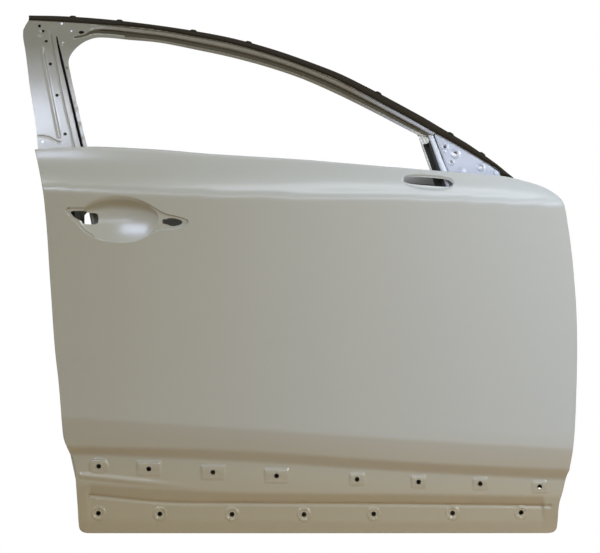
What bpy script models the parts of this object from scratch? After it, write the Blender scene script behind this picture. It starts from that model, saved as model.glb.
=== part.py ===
"""Bare shell of a car's right-hand front door, as it leaves the body shop.

Metres, +Z up, +X towards the car's front, the painted outer side towards -Y. The pressings are drawn in side
view and each point is given its distance out from the belt line, so sheets that lie on each other share their
facets. The side view is read in picture units (px), 555 of them along the door and 518.5 up its height.
"""

import math

import bpy
from mathutils import Vector
from mathutils.geometry import delaunay_2d_cdt

# Overall size and the picture units that span it
DOOR_LENGTH = 1.204
DOOR_HEIGHT = 1.125
LENGTH_PX = 555
HEIGHT_PX = 518.5
REAR_PX = 22
FOOT_PX = 533

# Sheet thicknesses, and the space left between two sheets that are welded together
SKIN_GAUGE = 0.0008
INNER_GAUGE = 0.001
FRAME_GAUGE = 0.0012
PLATE_GAUGE = 0.0018
WELD_GAP = 0.0003

# How far out of the belt line each crease of the outer skin lies
SHOULDER_OUT = 0.038
FLARE_OUT = 0.020
UNDERCUT_TOP_OUT = 0.010
UNDERCUT_FOOT_OUT = -0.005
STEP_TOP_OUT = -0.003
STEP_FOOT_OUT = -0.014
TOE_OUT = -0.014
FOOT_OUT = -0.018
BORDER_STEP_OUT = -0.006
BORDER_TOE_OUT = -0.013
SHOULDER_HOLLOW = 0.006
SHELF_HEIGHT = 0.075
SIDE_HOLLOW = 0.013
PLAN_BOW = 0.050
PLAN_CREST_SHARE = 0.4
SIDE_ROW_REAR_SHARES = (0.25, 0.5, 0.75)
SIDE_ROW_FRONT_SHARES = (0.14, 0.45, 0.72)
ROW_END_SPACE = 0.012

# Hem that folds the skin round the inner panel, and the flange that it holds
HEM_WIDTH = 0.010
FLANGE_WIDTH = 0.018
SKIN_CORNER_RADIUS = 0.015
SLIVER_SHARE = 0.1
TUB_CORNER_RADIUS = 0.016
CORNER_STEPS = 4
SMOOTH_ANGLE = math.radians(28)

# Inner panel: a deep pressing whose end walls carry the hinges and the latch
TUB_TOP_DEPTH = 0.075
TUB_LOW_DEPTH = 0.110
TUB_STEP_START = 0.030
TUB_STEP_RUN = 0.045
TUB_DRAFT = 0.008
HINGE_FACE_PX = 555
LATCH_FACE_PX = 59.5
APERTURE_LIP_WIDTH = 0.010
APERTURE_LIP_DEPTH = 0.006
APERTURE_CORNER_CUT = 0.022
BEAD_CORNER_CUT = 0.008
SPEAKER_RADIUS = 0.080
SPEAKER_SIDES = 20
TRIM_HOLE_RADIUS = 0.0045
BEAD_HEIGHT = 0.005

# Window frame: slope at the belt and at the roof, section depths, and the glass run channel in it
FRAME_SET_IN = 0.014
SLOPE_AT_BELT_SHARE = 0.17
SLOPE_AT_ROOF_SHARE = 0.42
FRAME_STEP = 0.004
LIP_RETURN = 0.0035
CHANNEL_DEPTH = 0.018
CHANNEL_WIDTH = 0.0235
BOX_AT_BELT = TUB_TOP_DEPTH - FRAME_SET_IN
BOX_AT_ROOF = 0.038
RETAINER_THICK = 0.004
RETAINER_OVERHANG = 0.002
RETAINER_WIDTH_SHARE = 0.18
TRIM_GAP = 0.0005
RETAINER_WEDGE_GROWTH = 0.0042
RETAINER_FIRST = 9
RETAINER_WEDGE_STATION = 21
HEADER_STEP_SHARE = 0.75
PILLAR_LINE_SHARES = (0, 0.66, 0.70, 0.84)
HEADER_LINE_SHARES = (0, 0.24, 0.34, 0.56)
PILLAR_HAT_SHARES = (0.02, 0.14, 0.20, 0.68, 0.73, 1)
HEADER_HAT_SHARES = (0.02, 0.12, 0.16, 0.34, 0.40, 1)
CHANNEL_GAUGE = 0.0008
CHANNEL_LEG = 0.007
CHANNEL_SEAT = 0.0006
CHANNEL_EDGE_SET = 0.0015
CHANNEL_SPLICE_STATION = 7
CHANNEL_SPLICE_SHARE = 0.05
HEADER_CHANNEL_LAST = 20
FRONT_CHANNEL_WIDTH = 0.024
BAR_LIP = 0.004
BAR_WIDTH_AT_ROOF = 0.0125
BAR_WIDTH_AT_BELT = 0.0165

# Hinges, latch, check arm and their plates, all on the end walls of the inner panel
HINGE_HEIGHT_PX = (262, 412)
HINGE_OUT = -0.068
LATCH_OUT = -0.052
LATCH_PLATE_LEG = 0.030
LATCH_SCREW_SHARES = ((-0.75, 0.6), (-0.75, -0.6), (0.72, 1.0))
WALL_CUT_REACH = 0.012
SEAT_RAISE = 0.0012
SEAT_ROOT = 0.0005
HINGE_SEAT = (0.056, 0.078)
LATCH_SEAT = (0.064, 0.090)
HARNESS_HEIGHT_PX = 366
BRACKET_DROP = 0.030
BRACKET_FOOT = 0.022
HINGE_HOLE_SPACING = 0.052
BOLT_HOLE_RADIUS = 0.0055
HINGE_PLATE_HEIGHT = 0.086
HINGE_PLATE_DEPTH = 0.066
HINGE_PLATE_LEG = 0.045
NUT_RADIUS = 0.0105
NUT_HEIGHT = 0.008
NUT_SIDES = 6
BOLT_SIDES = 12
HARNESS_SIDES = 16
SAIL_HOLE_SIDES = 10
CHECK_SLOT_HEIGHT = 0.034
CHECK_SLOT_WIDTH = 0.024
CHECK_PLATE_MARGIN = 0.014
HARNESS_HOLE_RADIUS = 0.017
LATCH_HEIGHT_PX = 214
LATCH_MOUTH_HEIGHT = 0.030
LATCH_MOUTH_WIDTH = 0.034
LATCH_SCREW_RADIUS = 0.004
LATCH_PLATE_HEIGHT = 0.100
LATCH_PLATE_DEPTH = 0.058

# Side impact beam
BEAM_RADIUS = 0.014
BEAM_WALL = 0.0025
BEAM_SIDES = 16
BEAM_REAR_OUT = -0.007
BEAM_FRONT_OUT = -0.019
BEAM_REAR_PX = (76, 372)
BEAM_FRONT_PX = (541, 309)
BEAM_BRACKET_LENGTH = 0.070
BEAM_BRACKET_HEIGHT = 0.052
BEAM_BRACKET_GAP = 0.0015
PAD_LENGTH = 0.050
PAD_HEIGHT = 0.026
PAD_PLACE_SHARES = (0.25, 0.5, 0.75)

# Holes for the cladding's clips, with the raised pads round them
CLIP_HOLE_RADIUS = 0.0052
CLIP_PAD_RAISE = 0.0022
CLIP_PAD_BEVEL = 0.004
REAR_PAD_LENGTH = 0.056
REAR_PAD_HEIGHT = 0.034
FRONT_PAD_LENGTH = 0.037
FRONT_PAD_HEIGHT = 0.027
LOWER_PAD_RADIUS = 0.0115
ROUND_SIDES = 8

# Pull handle's bowl and the door mirror's slot in the skin
BOWL_DEPTH = 0.019
BOWL_SHELF_DEPTH = 0.005
BOWL_ROLL = 0.004
BOWL_FLOOR_PX = (126, 219)
BOWL_FLOOR_RADII_PX = (22, 14)
BOWL_FLOOR_SIDES = 12
SLOT_DIP = 0.003

# Belt reinforcements
BELT_BAND_DEPTH = 0.042
BELT_NARROW_DEPTH = 0.006
BELT_BAND_RISE = 0.006
BELT_HAT_HEIGHT = 0.012
BELT_HAT_SHARES = (0.02, 0.22, 0.34, 0.66, 0.78, 0.98)

# Creases and edges of the skin, from the belt down, each from the rear to the front
CREASES_PX = {
    "belt": ((35, 149.5), (87, 147), (158, 150), (206, 154), (254, 157), (302, 160), (350, 164), (398, 168),
             (440, 171.5), (500, 176), (516, 179), (536, 184.3), (550, 190.4), (561, 199), (564, 204)),
    "shoulder": ((43, 189), (120, 192.5), (227, 195.7), (330, 197.6), (432, 198.8), (520, 202.5),
                 (564, 204.5)),
    "flare": ((62, 417), (101, 420), (240, 428.5), (420, 440.5), (573, 449)),
    "undercut_top": ((65, 447), (100, 447.5), (240, 451), (420, 463), (570, 470)),
    "undercut_foot": ((70, 454), (100, 454.5), (240, 461), (420, 472), (565, 479.5)),
    "step_top": ((76, 484), (160, 489), (240, 493), (420, 494.5), (561, 497)),
    "step_foot": ((77, 494), (90, 495), (165, 502), (240, 503), (400, 504), (558, 506)),
    "toe": ((78, 521), (240, 521), (400, 522.5), (558, 521)),
    "foot": ((80, 533), (557, 533)),
}
REAR_EDGE_PX = ((35, 149.5), (38, 162), (44, 192), (46, 212), (48, 236), (50, 272), (52, 300), (54, 332),
                (56, 356), (59, 380), (61, 404), (63, 430), (64, 441), (69, 452), (75, 464), (76, 478),
                (77, 490), (78, 507), (79, 533))
FRONT_EDGE_PX = ((564, 204), (567, 224), (569, 236), (572, 260), (574, 284), (576, 308), (577, 350),
                 (576, 392), (574.5, 428), (573, 447), (569.6, 470), (565.2, 479), (562.6, 492),
                 (558.5, 504), (558, 521), (557, 533))
FRONT_CORNER_PX = ((561, 199), (550, 190.4), (536, 184.3), (516, 179))
RECESS_REAR_PX = 87
RECESS_FRONT_PX = 545
RECESS_RUN_PX = 4
COLUMNS_PX = (100, 140, 180, 225, 270, 320, 370, 420, 465, 505, 540)
FOOT_COLUMNS_PX = (150, 220, 290, 360, 430, 500)
TUB_FRONT_COLUMNS_PX = (548, 530)
TUB_REAR_COLUMN_PX = 68
BELT_NARROW_PX = 400
BELT_COLUMNS_PX = (500, 470, 440, 400, 360, 320, 280, 240, 200, 160, 120, 90)

UPPER_REAR_HOLES_PX = ((99, 466), (149, 468.6), (213, 472), (276.6, 475.5))
UPPER_FRONT_HOLES_PX = ((357, 479), (418.5, 481.7), (480, 483.5), (539.5, 486.5))
APERTURES_PX = (
    ((180, 235), (180, 395), (345, 395), (345, 235)),
    ((375, 240), (375, 352), (520, 345), (520, 240)),
    ((92, 300), (97, 400), (155, 400), (155, 300)),
    ((84, 205), (84, 258), (150, 258), (150, 205)),
)
SPEAKER_PX = (470, 432)
TRIM_HOLES_PX = ((110, 285), (165, 200), (165, 330), (165, 450), (280, 215), (280, 445), (360, 300),
                 (380, 215), (400, 480), (540, 300), (524, 382), (250, 500), (120, 480), (540, 490))
BEADS_PX = (
    ((190, 415), (190, 428), (380, 428), (380, 415)),
    ((120, 462), (120, 474), (380, 474), (380, 462)),
)
LOWER_HOLES_PX = ((98.6, 513), (160, 513.6), (232, 514), (304, 514.2), (373.7, 513.7), (452.4, 512.9),
                  (521, 512.3))
BOWL_PX = ((65.3, 209.8), (66.4, 213.3), (72.1, 219.6), (79, 225.5), (82.5, 234), (91.7, 238.5),
           (104.3, 242), (120.4, 243.1), (131.8, 242.6), (143.3, 239.7), (150, 236), (157, 231), (172, 230.3),
           (183.5, 227.6), (189.8, 222.5), (188, 219), (175.5, 215.6), (165, 213.8), (157.1, 208.7),
           (145.6, 201.8), (131.8, 196.8), (113.5, 194.8), (97.4, 195.3), (86, 197), (78, 200), (74, 204.5),
           (68.7, 206.8))
REAR_HANDLE_HOLE_PX = ((70.1, 211), (73.3, 216.2), (82.5, 221.6), (98.3, 224.6), (99.1, 219), (98, 213.3),
                       (88.2, 213.3), (85.9, 211.2))
FRONT_HANDLE_HOLE_PX = ((162.6, 219.3), (162.8, 224), (168.6, 224.8), (174.3, 226.1), (182.4, 224.2),
                        (182.9, 220.8), (174.3, 218.5), (168.6, 218.1))
MIRROR_SLOT_PX = ((403.3, 180.8), (404.5, 182.6), (448.2, 187.5), (452.7, 183.4), (447.6, 178.9),
                  (407.4, 176.4))
MIRROR_DIP_PX = ((399.5, 180.5), (405.5, 187), (426, 191.2), (449, 191), (456.5, 183.2), (449, 175.8),
                 (405, 173.2))

# Window frame: matched points of its outer edge and of its window edge, from the rear belt round to the front
FRAME_OUTER_PX = ((38, 148.4), (36.6, 132), (33.2, 108), (29.8, 88), (27, 66), (25, 51), (22.7, 38),
                  (22.3, 29), (25, 22), (32, 17.5), (52, 16), (86, 18), (122, 21.2), (158, 26), (194, 31.5),
                  (230, 38.5), (266, 48), (302, 60), (338, 74), (374, 92), (408, 110), (434, 125), (458, 139),
                  (482, 155), (504, 171))
FRAME_WINDOW_PX = ((87.5, 146.4), (83.5, 132), (78.2, 108), (73.5, 88), (70, 72), (68.3, 62), (69.5, 56),
                   (73.5, 50), (79, 44.7), (86, 40.3), (96, 37.2), (110, 37.4), (128, 39.2), (160, 42.2),
                   (196, 49.3), (230, 56.6), (266, 66.3), (302, 78.5), (338, 94.4), (374, 112.3),
                   (403, 127.5), (428, 140), (448, 150), (474, 163), (496, 174))
PILLAR_STATIONS = 6
HEADER_STATIONS = 10
PLATE_HOLES_PX = ((38.9, 25.5), (42.6, 30.6), (45.8, 40.9), (50.1, 63.8), (56.9, 95.3), (65.3, 134.1))
PLATE_HOLE_RADIUS = 0.004
PLATE_HOLE_REACH = 0.008
CLIPS_PX = ((72.7, 16.3), (120, 19.8), (194, 30.3), (249, 42.2), (379, 93.2), (451, 133.6), (483, 154.4))
CLIP_RAISED_PX = 470
CLIP_LENGTH = 0.012
CLIP_WIDTH = 0.005
CLIP_HEIGHT = 0.0035
CLIP_TOP_SHARE = 0.6
CLIP_SEAT = 0.0004
REAR_CHANNEL_PX = ((91, 165), (96, 190), (102, 220), (108, 250), (113, 276))
FRONT_CHANNEL_PX = ((419, 138.5), (424.5, 155), (430, 171), (438, 196), (447, 224))
DIVISION_BAR_PX = ((427.6, 138), (439.6, 171), (448, 196))
SAIL_FRONT_PX = ((478, 190), (499, 177.5), (499, 173.6), (477, 161.4), (452, 147), (436.5, 138))
SAIL_HOLES_PX = ((444.8, 147.6), (455.1, 154.2), (480.6, 167.6))
SAIL_HOLE_RADII = (0.003, 0.0042, 0.0025)
MIRROR_PLATE_PX = ((457.5, 190.5), (478, 186.5), (495, 176), (476, 163.3), (452, 149.2), (443, 143.6),
                   (438.8, 142.8), (449.5, 171))
CORNER_INNER_PX = ((436, 185), (500, 187), (501, 176), (478, 164), (452, 150), (432, 141.5), (432, 172))


for item in list(bpy.data.objects):
    bpy.data.objects.remove(item, do_unlink=True)


def side(point):
    """A point of the side view in metres: along the door, and up from its foot."""
    along = (point[0] - REAR_PX) * DOOR_LENGTH / LENGTH_PX
    return Vector((along, (FOOT_PX - point[1]) * DOOR_HEIGHT / HEIGHT_PX))


def smooth_line(points):
    """Height as a smooth function of the place along the door, through the points of one crease."""
    knots = [side(point) for point in points]
    slopes = []
    for index in range(len(knots)):
        before = knots[max(index - 1, 0)]
        after = knots[min(index + 1, len(knots) - 1)]
        slopes.append((after.y - before.y) / (after.x - before.x))

    def height(x):
        if x <= knots[0].x:
            return knots[0].y
        for a, b, slope_a, slope_b in zip(knots, knots[1:], slopes, slopes[1:]):
            if x <= b.x:
                run = b.x - a.x
                t = (x - a.x) / run
                rise = (b.y - a.y) * t * t * (3 - 2 * t)
                return a.y + rise + run * t * (1 - t) * (slope_a * (1 - t) - slope_b * t)
        return knots[-1].y

    return height


CREASE = {name: smooth_line(points) for name, points in CREASES_PX.items()}


def side_row(rear_share, front_share):
    """A row that divides the door's side between the shoulder and the flare."""

    def height(x):
        share = rear_share + (front_share - rear_share) * x / DOOR_LENGTH
        return CREASE["shoulder"](x) * (1 - share) + CREASE["flare"](x) * share

    return height


def shelf_row(x):
    """The row half way between the belt and the shoulder."""
    return (CREASE["belt"](x) + CREASE["shoulder"](x)) / 2


ROWS = {"belt": CREASE["belt"], "shelf": shelf_row, "shoulder": CREASE["shoulder"]}
for row_number, row_shares in enumerate(zip(SIDE_ROW_REAR_SHARES, SIDE_ROW_FRONT_SHARES)):
    ROWS["side_" + str(row_number)] = side_row(*row_shares)
for row_name in ("flare", "undercut_top", "undercut_foot", "step_top", "step_foot"):
    ROWS[row_name] = CREASE[row_name]

FRONT_ROWS = [name for name in ROWS if name not in ("belt", "shelf")][::-1]

RECESS_REAR = side((RECESS_REAR_PX, 0)).x
RECESS_FRONT = side((RECESS_FRONT_PX, 0)).x
RECESS_RUN = side((RECESS_REAR_PX + RECESS_RUN_PX, 0)).x - RECESS_REAR


def eased(value):
    """0 to 1 with no corner at either end."""
    value = min(max(value, 0), 1)
    return value * value * (3 - 2 * value)


def bow(x):
    """How far the door's plan curve falls back at a place along it."""
    return PLAN_BOW * (x / DOOR_LENGTH - PLAN_CREST_SHARE) ** 2


def skin_out(x, z):
    """How far the outer skin stands out at a point of the side view."""
    recess = eased((x - RECESS_REAR) / RECESS_RUN) * eased((RECESS_FRONT - x) / RECESS_RUN)
    step_foot_out = BORDER_STEP_OUT + (STEP_FOOT_OUT - BORDER_STEP_OUT) * recess
    toe_out = BORDER_TOE_OUT + (TOE_OUT - BORDER_TOE_OUT) * recess
    shelf = min((CREASE["belt"](x) - CREASE["shoulder"](x)) / SHELF_HEIGHT, 1)
    stations = (("belt", SHOULDER_OUT * (1 - shelf), -SHOULDER_HOLLOW * shelf),
                ("shoulder", SHOULDER_OUT, -SIDE_HOLLOW), ("flare", FLARE_OUT, 0),
                ("undercut_top", UNDERCUT_TOP_OUT, 0), ("undercut_foot", UNDERCUT_FOOT_OUT, 0),
                ("step_top", STEP_TOP_OUT, 0), ("step_foot", step_foot_out, 0), ("toe", toe_out, 0),
                ("foot", FOOT_OUT, 0))
    for (upper, out_a, bulge), (lower, out_b, _) in zip(stations, stations[1:]):
        top = CREASE[upper](x)
        bottom = CREASE[lower](x)
        if z >= bottom or lower == "foot":
            t = min(max((top - z) / max(top - bottom, SKIN_GAUGE), 0), 1)
            return out_a + (out_b - out_a) * t + bulge * 4 * t * (1 - t) - bow(x)
    return FOOT_OUT - bow(x)


def tub_out(x, z):
    """Where the cavity side of the inner panel's face lies."""
    fall = eased((CREASE["belt"](x) - TUB_STEP_START - z) / TUB_STEP_RUN)
    return -TUB_TOP_DEPTH - (TUB_LOW_DEPTH - TUB_TOP_DEPTH) * fall


BELT_HEIGHT = side((35, 149.5)).y
FRAME_HEIGHT = DOOR_HEIGHT - BELT_HEIGHT


def frame_out(x, z):
    """Where the outer face of the window frame lies: it leans in more and more towards the roof."""
    rise = z - BELT_HEIGHT
    bend = (SLOPE_AT_ROOF_SHARE - SLOPE_AT_BELT_SHARE) / (2 * FRAME_HEIGHT)
    return -FRAME_SET_IN - bow(x) - rise * SLOPE_AT_BELT_SHARE - rise * rise * bend


def edge_point(edge, row):
    """Where a row of the skin crosses the door's rear or front edge."""
    knots = [side(point) for point in edge]
    x = knots[0].x
    for _ in range(12):
        z = row(x)
        for a, b in zip(knots, knots[1:]):
            if b.y <= z <= a.y:
                x = a.x + (b.x - a.x) * (a.y - z) / (a.y - b.y)
                break
    return Vector((x, row(x)))


def mitred(points, distance, closed=False):
    """A line of points moved to its left by a distance, keeping that distance along each of its runs."""
    moved = []
    count = len(points)
    for index, point in enumerate(points):
        before = points[index - 1] if closed or index else None
        after = points[(index + 1) % count] if closed or index < count - 1 else None
        into = (point - before).normalized() if before else (after - point).normalized()
        away = (after - point).normalized() if after else into
        left_a = Vector((-into.y, into.x))
        left_b = Vector((-away.y, away.x))
        both = left_a + left_b
        moved.append(point + both * (2 * distance / both.length_squared))
    return moved


def rounded_corner(before, corner, after, radius):
    """Points of the arc that rounds one corner."""
    into = (before - corner).normalized()
    away = (after - corner).normalized()
    half = into.angle(away) / 2
    reach = radius / math.tan(half)
    start = corner + into * reach
    end = corner + away * reach
    centre = corner + (into + away).normalized() * (radius / math.sin(half))
    turn = math.pi - 2 * half
    points = []
    for step in range(CORNER_STEPS + 1):
        t = step / CORNER_STEPS
        a = (start - centre) * (math.sin((1 - t) * turn) / math.sin(turn))
        b = (end - centre) * (math.sin(t * turn) / math.sin(turn))
        points.append(centre + a + b)
    return points


def inside(polygon, point):
    """True where a point lies in a polygon."""
    crossings = 0
    for a, b in zip(polygon, polygon[1:] + polygon[:1]):
        if (a.y > point.y) != (b.y > point.y):
            crossings += a.x + (point.y - a.y) / (b.y - a.y) * (b.x - a.x) > point.x
    return crossings % 2 == 1


def circle(centre, radius, sides=ROUND_SIDES):
    """A ring of points round a centre."""
    turns = [2 * math.pi * (number + 0.5) / sides for number in range(sides)]
    return [centre + Vector((math.cos(turn), math.sin(turn))) * radius for turn in turns]


def rectangle(centre, length, height, corner=0):
    """Corners of a rectangle, each cut off by a small flat where corner isn't zero."""
    half = Vector((length / 2, height / 2))
    points = []
    for sign_x, sign_z, first in ((-1, -1, 1), (1, -1, 0), (1, 1, 1), (-1, 1, 0)):
        tip = centre + Vector((half.x * sign_x, half.y * sign_z))
        if corner == 0:
            points.append(tip)
            continue
        cuts = [tip - Vector((corner * sign_x, 0)), tip - Vector((0, corner * sign_z))]
        points += reversed(cuts) if first else cuts
    return points


class Plan:
    """Side view of a sheet: an outline with rings, lines and holes drawn in it, cut into triangles."""

    def __init__(self, outline):
        self.points = []
        self.relief = []
        self.edges = []
        self.holes = []
        self.outline = list(outline)
        self.draw(outline, closed=True)

    def draw(self, points, relief=0.0, closed=False):
        first = len(self.points)
        self.points += points
        self.relief += [relief] * len(points)
        self.edges += [(first + index, first + index + 1) for index in range(len(points) - 1)]
        if closed:
            self.edges.append((first + len(points) - 1, first))

    def cut(self, points, relief=0.0):
        self.draw(points, relief, closed=True)
        self.holes.append(points)

    def triangles(self):
        """Places, reliefs, which outline point each place is (or None), and the triangles between them."""
        places, _, faces, origins, _, _ = delaunay_2d_cdt(self.points, self.edges, [], 0, SKIN_GAUGE / 20)
        reliefs = [self.relief[max(origin)] if origin else 0.0 for origin in origins]
        border = [next((number for number in origin if number < len(self.outline)), None)
                  for origin in origins]
        kept = []
        for face in faces:
            a, b, c = (places[corner] for corner in face)
            if abs((b - a).cross(c - a)) < SLIVER_SHARE * SKIN_GAUGE * SKIN_GAUGE:
                continue
            middle = (a + b + c) / 3
            if inside(self.outline, middle) and not any(inside(hole, middle) for hole in self.holes):
                kept.append(tuple(face))
        return places, reliefs, border, kept


class Sheet:
    """A pressed sheet: each point has its place on the front and on the back of the metal."""

    def __init__(self):
        self.fronts = []
        self.backs = []
        self.faces = []

    def add(self, front, back):
        self.fronts.append(front)
        self.backs.append(back)
        return len(self.fronts) - 1

    def ring(self, fronts, backs):
        return [self.add(front, back) for front, back in zip(fronts, backs)]

    def strip(self, outer, inner, turned=False):
        """Joins two rings; turned faces look the other way but are cut along the same diagonals."""
        for a, b, c, d in zip(outer, outer[1:], inner[1:], inner):
            self.faces += [(a, c, b), (a, d, c)] if turned else [(a, b, c), (a, c, d)]

    def build(self, name, finish):
        count = len(self.fronts)
        faces = list(self.faces)
        faces += [tuple(count + corner for corner in reversed(face)) for face in self.faces]
        directed = {edge for face in self.faces for edge in zip(face, face[1:] + face[:1])}
        for face in self.faces:
            for a, b in zip(face, face[1:] + face[:1]):
                if (b, a) not in directed:
                    faces += [(b, a, a + count), (b, a + count, b + count)]
        return solid(name, self.fronts + self.backs, faces, finish)


def solid(name, points, faces, finish):
    """A named object of the door, in the door's own frame."""
    mesh = bpy.data.meshes.new(name)
    mesh.from_pydata([tuple(point) for point in points], [], faces)
    mesh.validate()
    mesh.shade_smooth()
    mesh.set_sharp_from_angle(angle=SMOOTH_ANGLE)
    mesh.materials.append(finish)
    piece = bpy.data.objects.new(name, mesh)
    bpy.context.scene.collection.objects.link(piece)
    piece.parent = door_frame
    return piece


def at(point, out):
    """A point of the side view at a distance out of the belt line."""
    return Vector((point.x, -out, point.y))


def paint(name, colour, roughness, metallic=0.0):
    """A finish with its colour, roughness and metallic value."""
    finish = bpy.data.materials.new(name)
    finish.use_nodes = True
    shader = finish.node_tree.nodes["Principled BSDF"]
    shader.inputs["Base Color"].default_value = (*colour, 1)
    shader.inputs["Roughness"].default_value = roughness
    shader.inputs["Metallic"].default_value = metallic
    return finish


def extruded(name, profile, place, depth, finish):
    """A closed profile carried straight along a third direction; place puts it in the door's frame."""
    count = len(profile)
    points = [place(point, 0) for point in profile] + [place(point, depth) for point in profile]
    faces = [tuple(range(count)), tuple(reversed(range(count, 2 * count)))]
    faces += [(b, a, a + count, b + count) for a, b in zip(range(count), [*range(1, count), 0])]
    piece = solid(name, points, faces, finish)
    return piece


def facing_out(piece):
    """Turns a closed piece's faces outwards."""
    mesh = piece.data
    volume = 0
    for face in mesh.polygons:
        corners = [mesh.vertices[corner].co for corner in face.vertices]
        for b, c in zip(corners[1:], corners[2:]):
            volume += corners[0].dot(b.cross(c))
    if volume < 0:
        mesh.flip_normals()
    return piece


def cut_from(piece, cutters):
    """Takes the cutters' space out of a piece."""
    for cutter in cutters:
        hole = piece.modifiers.new(cutter.name, "BOOLEAN")
        hole.object = cutter
        hole.solver = "EXACT"


def join_to(piece, additions):
    """Makes the additions' space part of a piece."""
    for addition in additions:
        added = piece.modifiers.new(addition.name, "BOOLEAN")
        added.operation = "UNION"
        added.object = addition
        added.solver = "EXACT"


def cutter_of(name, profile, place, depth):
    """A tool whose space is taken out of other pieces."""
    tool = facing_out(extruded(name, profile, place, depth, steel))
    tool.display_type = "WIRE"
    tool.hide_render = True
    return tool


def hem_line():
    """The hemmed edge: down the rear, along the foot and up the front to the mirror's corner."""
    rear = [edge_point(REAR_EDGE_PX, row) for row in ROWS.values()]
    front = [edge_point(FRONT_EDGE_PX, ROWS[name]) for name in FRONT_ROWS]
    rear_corner = side(REAR_EDGE_PX[-1])
    front_corner = side(FRONT_EDGE_PX[-1])
    foot = [side((px, FOOT_PX)) for px in FOOT_COLUMNS_PX]
    tip = [side(point) for point in FRONT_CORNER_PX]
    return rear, rear_corner, foot, front_corner, front, tip


def rounded_line(rear, rear_corner, foot, front_corner, front, tip, radius):
    return (rear + rounded_corner(rear[-1], rear_corner, foot[0], radius) + foot
            + rounded_corner(foot[-1], front_corner, front[0], radius) + front + tip)


def flange_line(inset):
    """The hem line moved into the door, held flat where the hinges and the latch stand, on the same rows."""
    rear, rear_corner, foot, front_corner, front, tip = hem_line()
    sharp = rear + [rear_corner] + foot + [front_corner] + front + tip
    moved = mitred(sharp, FLANGE_WIDTH)
    hinge_face = side((HINGE_FACE_PX, 0)).x - inset
    latch_face = side((LATCH_FACE_PX, 0)).x + inset
    count = len(rear)
    for index, row in enumerate(ROWS.values()):
        point = moved[index]
        point.x = max(point.x, latch_face)
        point.y = row(point.x)
    first_front = count + 1 + len(foot) + 1
    names = FRONT_ROWS
    for index, name in enumerate(names):
        point = moved[first_front + index]
        point.x = min(point.x, hinge_face)
        point.y = ROWS[name](point.x)
    if moved[first_front + len(names) - 1].y > moved[first_front + len(names)].y:
        moved[first_front + len(names) - 1].y = moved[first_front + len(names)].y
    return rounded_line(moved[:count], moved[count], moved[count + 1:first_front - 1], moved[first_front - 1],
                        moved[first_front:first_front + len(names)], moved[first_front + len(names):],
                        TUB_CORNER_RADIUS)


HEM = rounded_line(*hem_line(), SKIN_CORNER_RADIUS)
FLANGE = flange_line(INNER_GAUGE)
HEM_OUT = [skin_out(point.x, point.y) for point in HEM]
FLANGE_OUT = [skin_out(point.x, point.y) for point in FLANGE]


def between_edges(distance):
    """Points of the hemmed border at a distance in from the edge, with the skin's out there."""
    points = []
    outs = []
    for edge, flange, edge_out, flange_out in zip(HEM, FLANGE, HEM_OUT, FLANGE_OUT):
        share = distance / (flange - edge).length
        points.append(edge.lerp(flange, share))
        outs.append(edge_out + (flange_out - edge_out) * share)
    return points, outs


def belt_points(columns):
    """Points of the belt line at columns along the door."""
    return [Vector((side((px, 0)).x, CREASE["belt"](side((px, 0)).x))) for px in columns]


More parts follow.
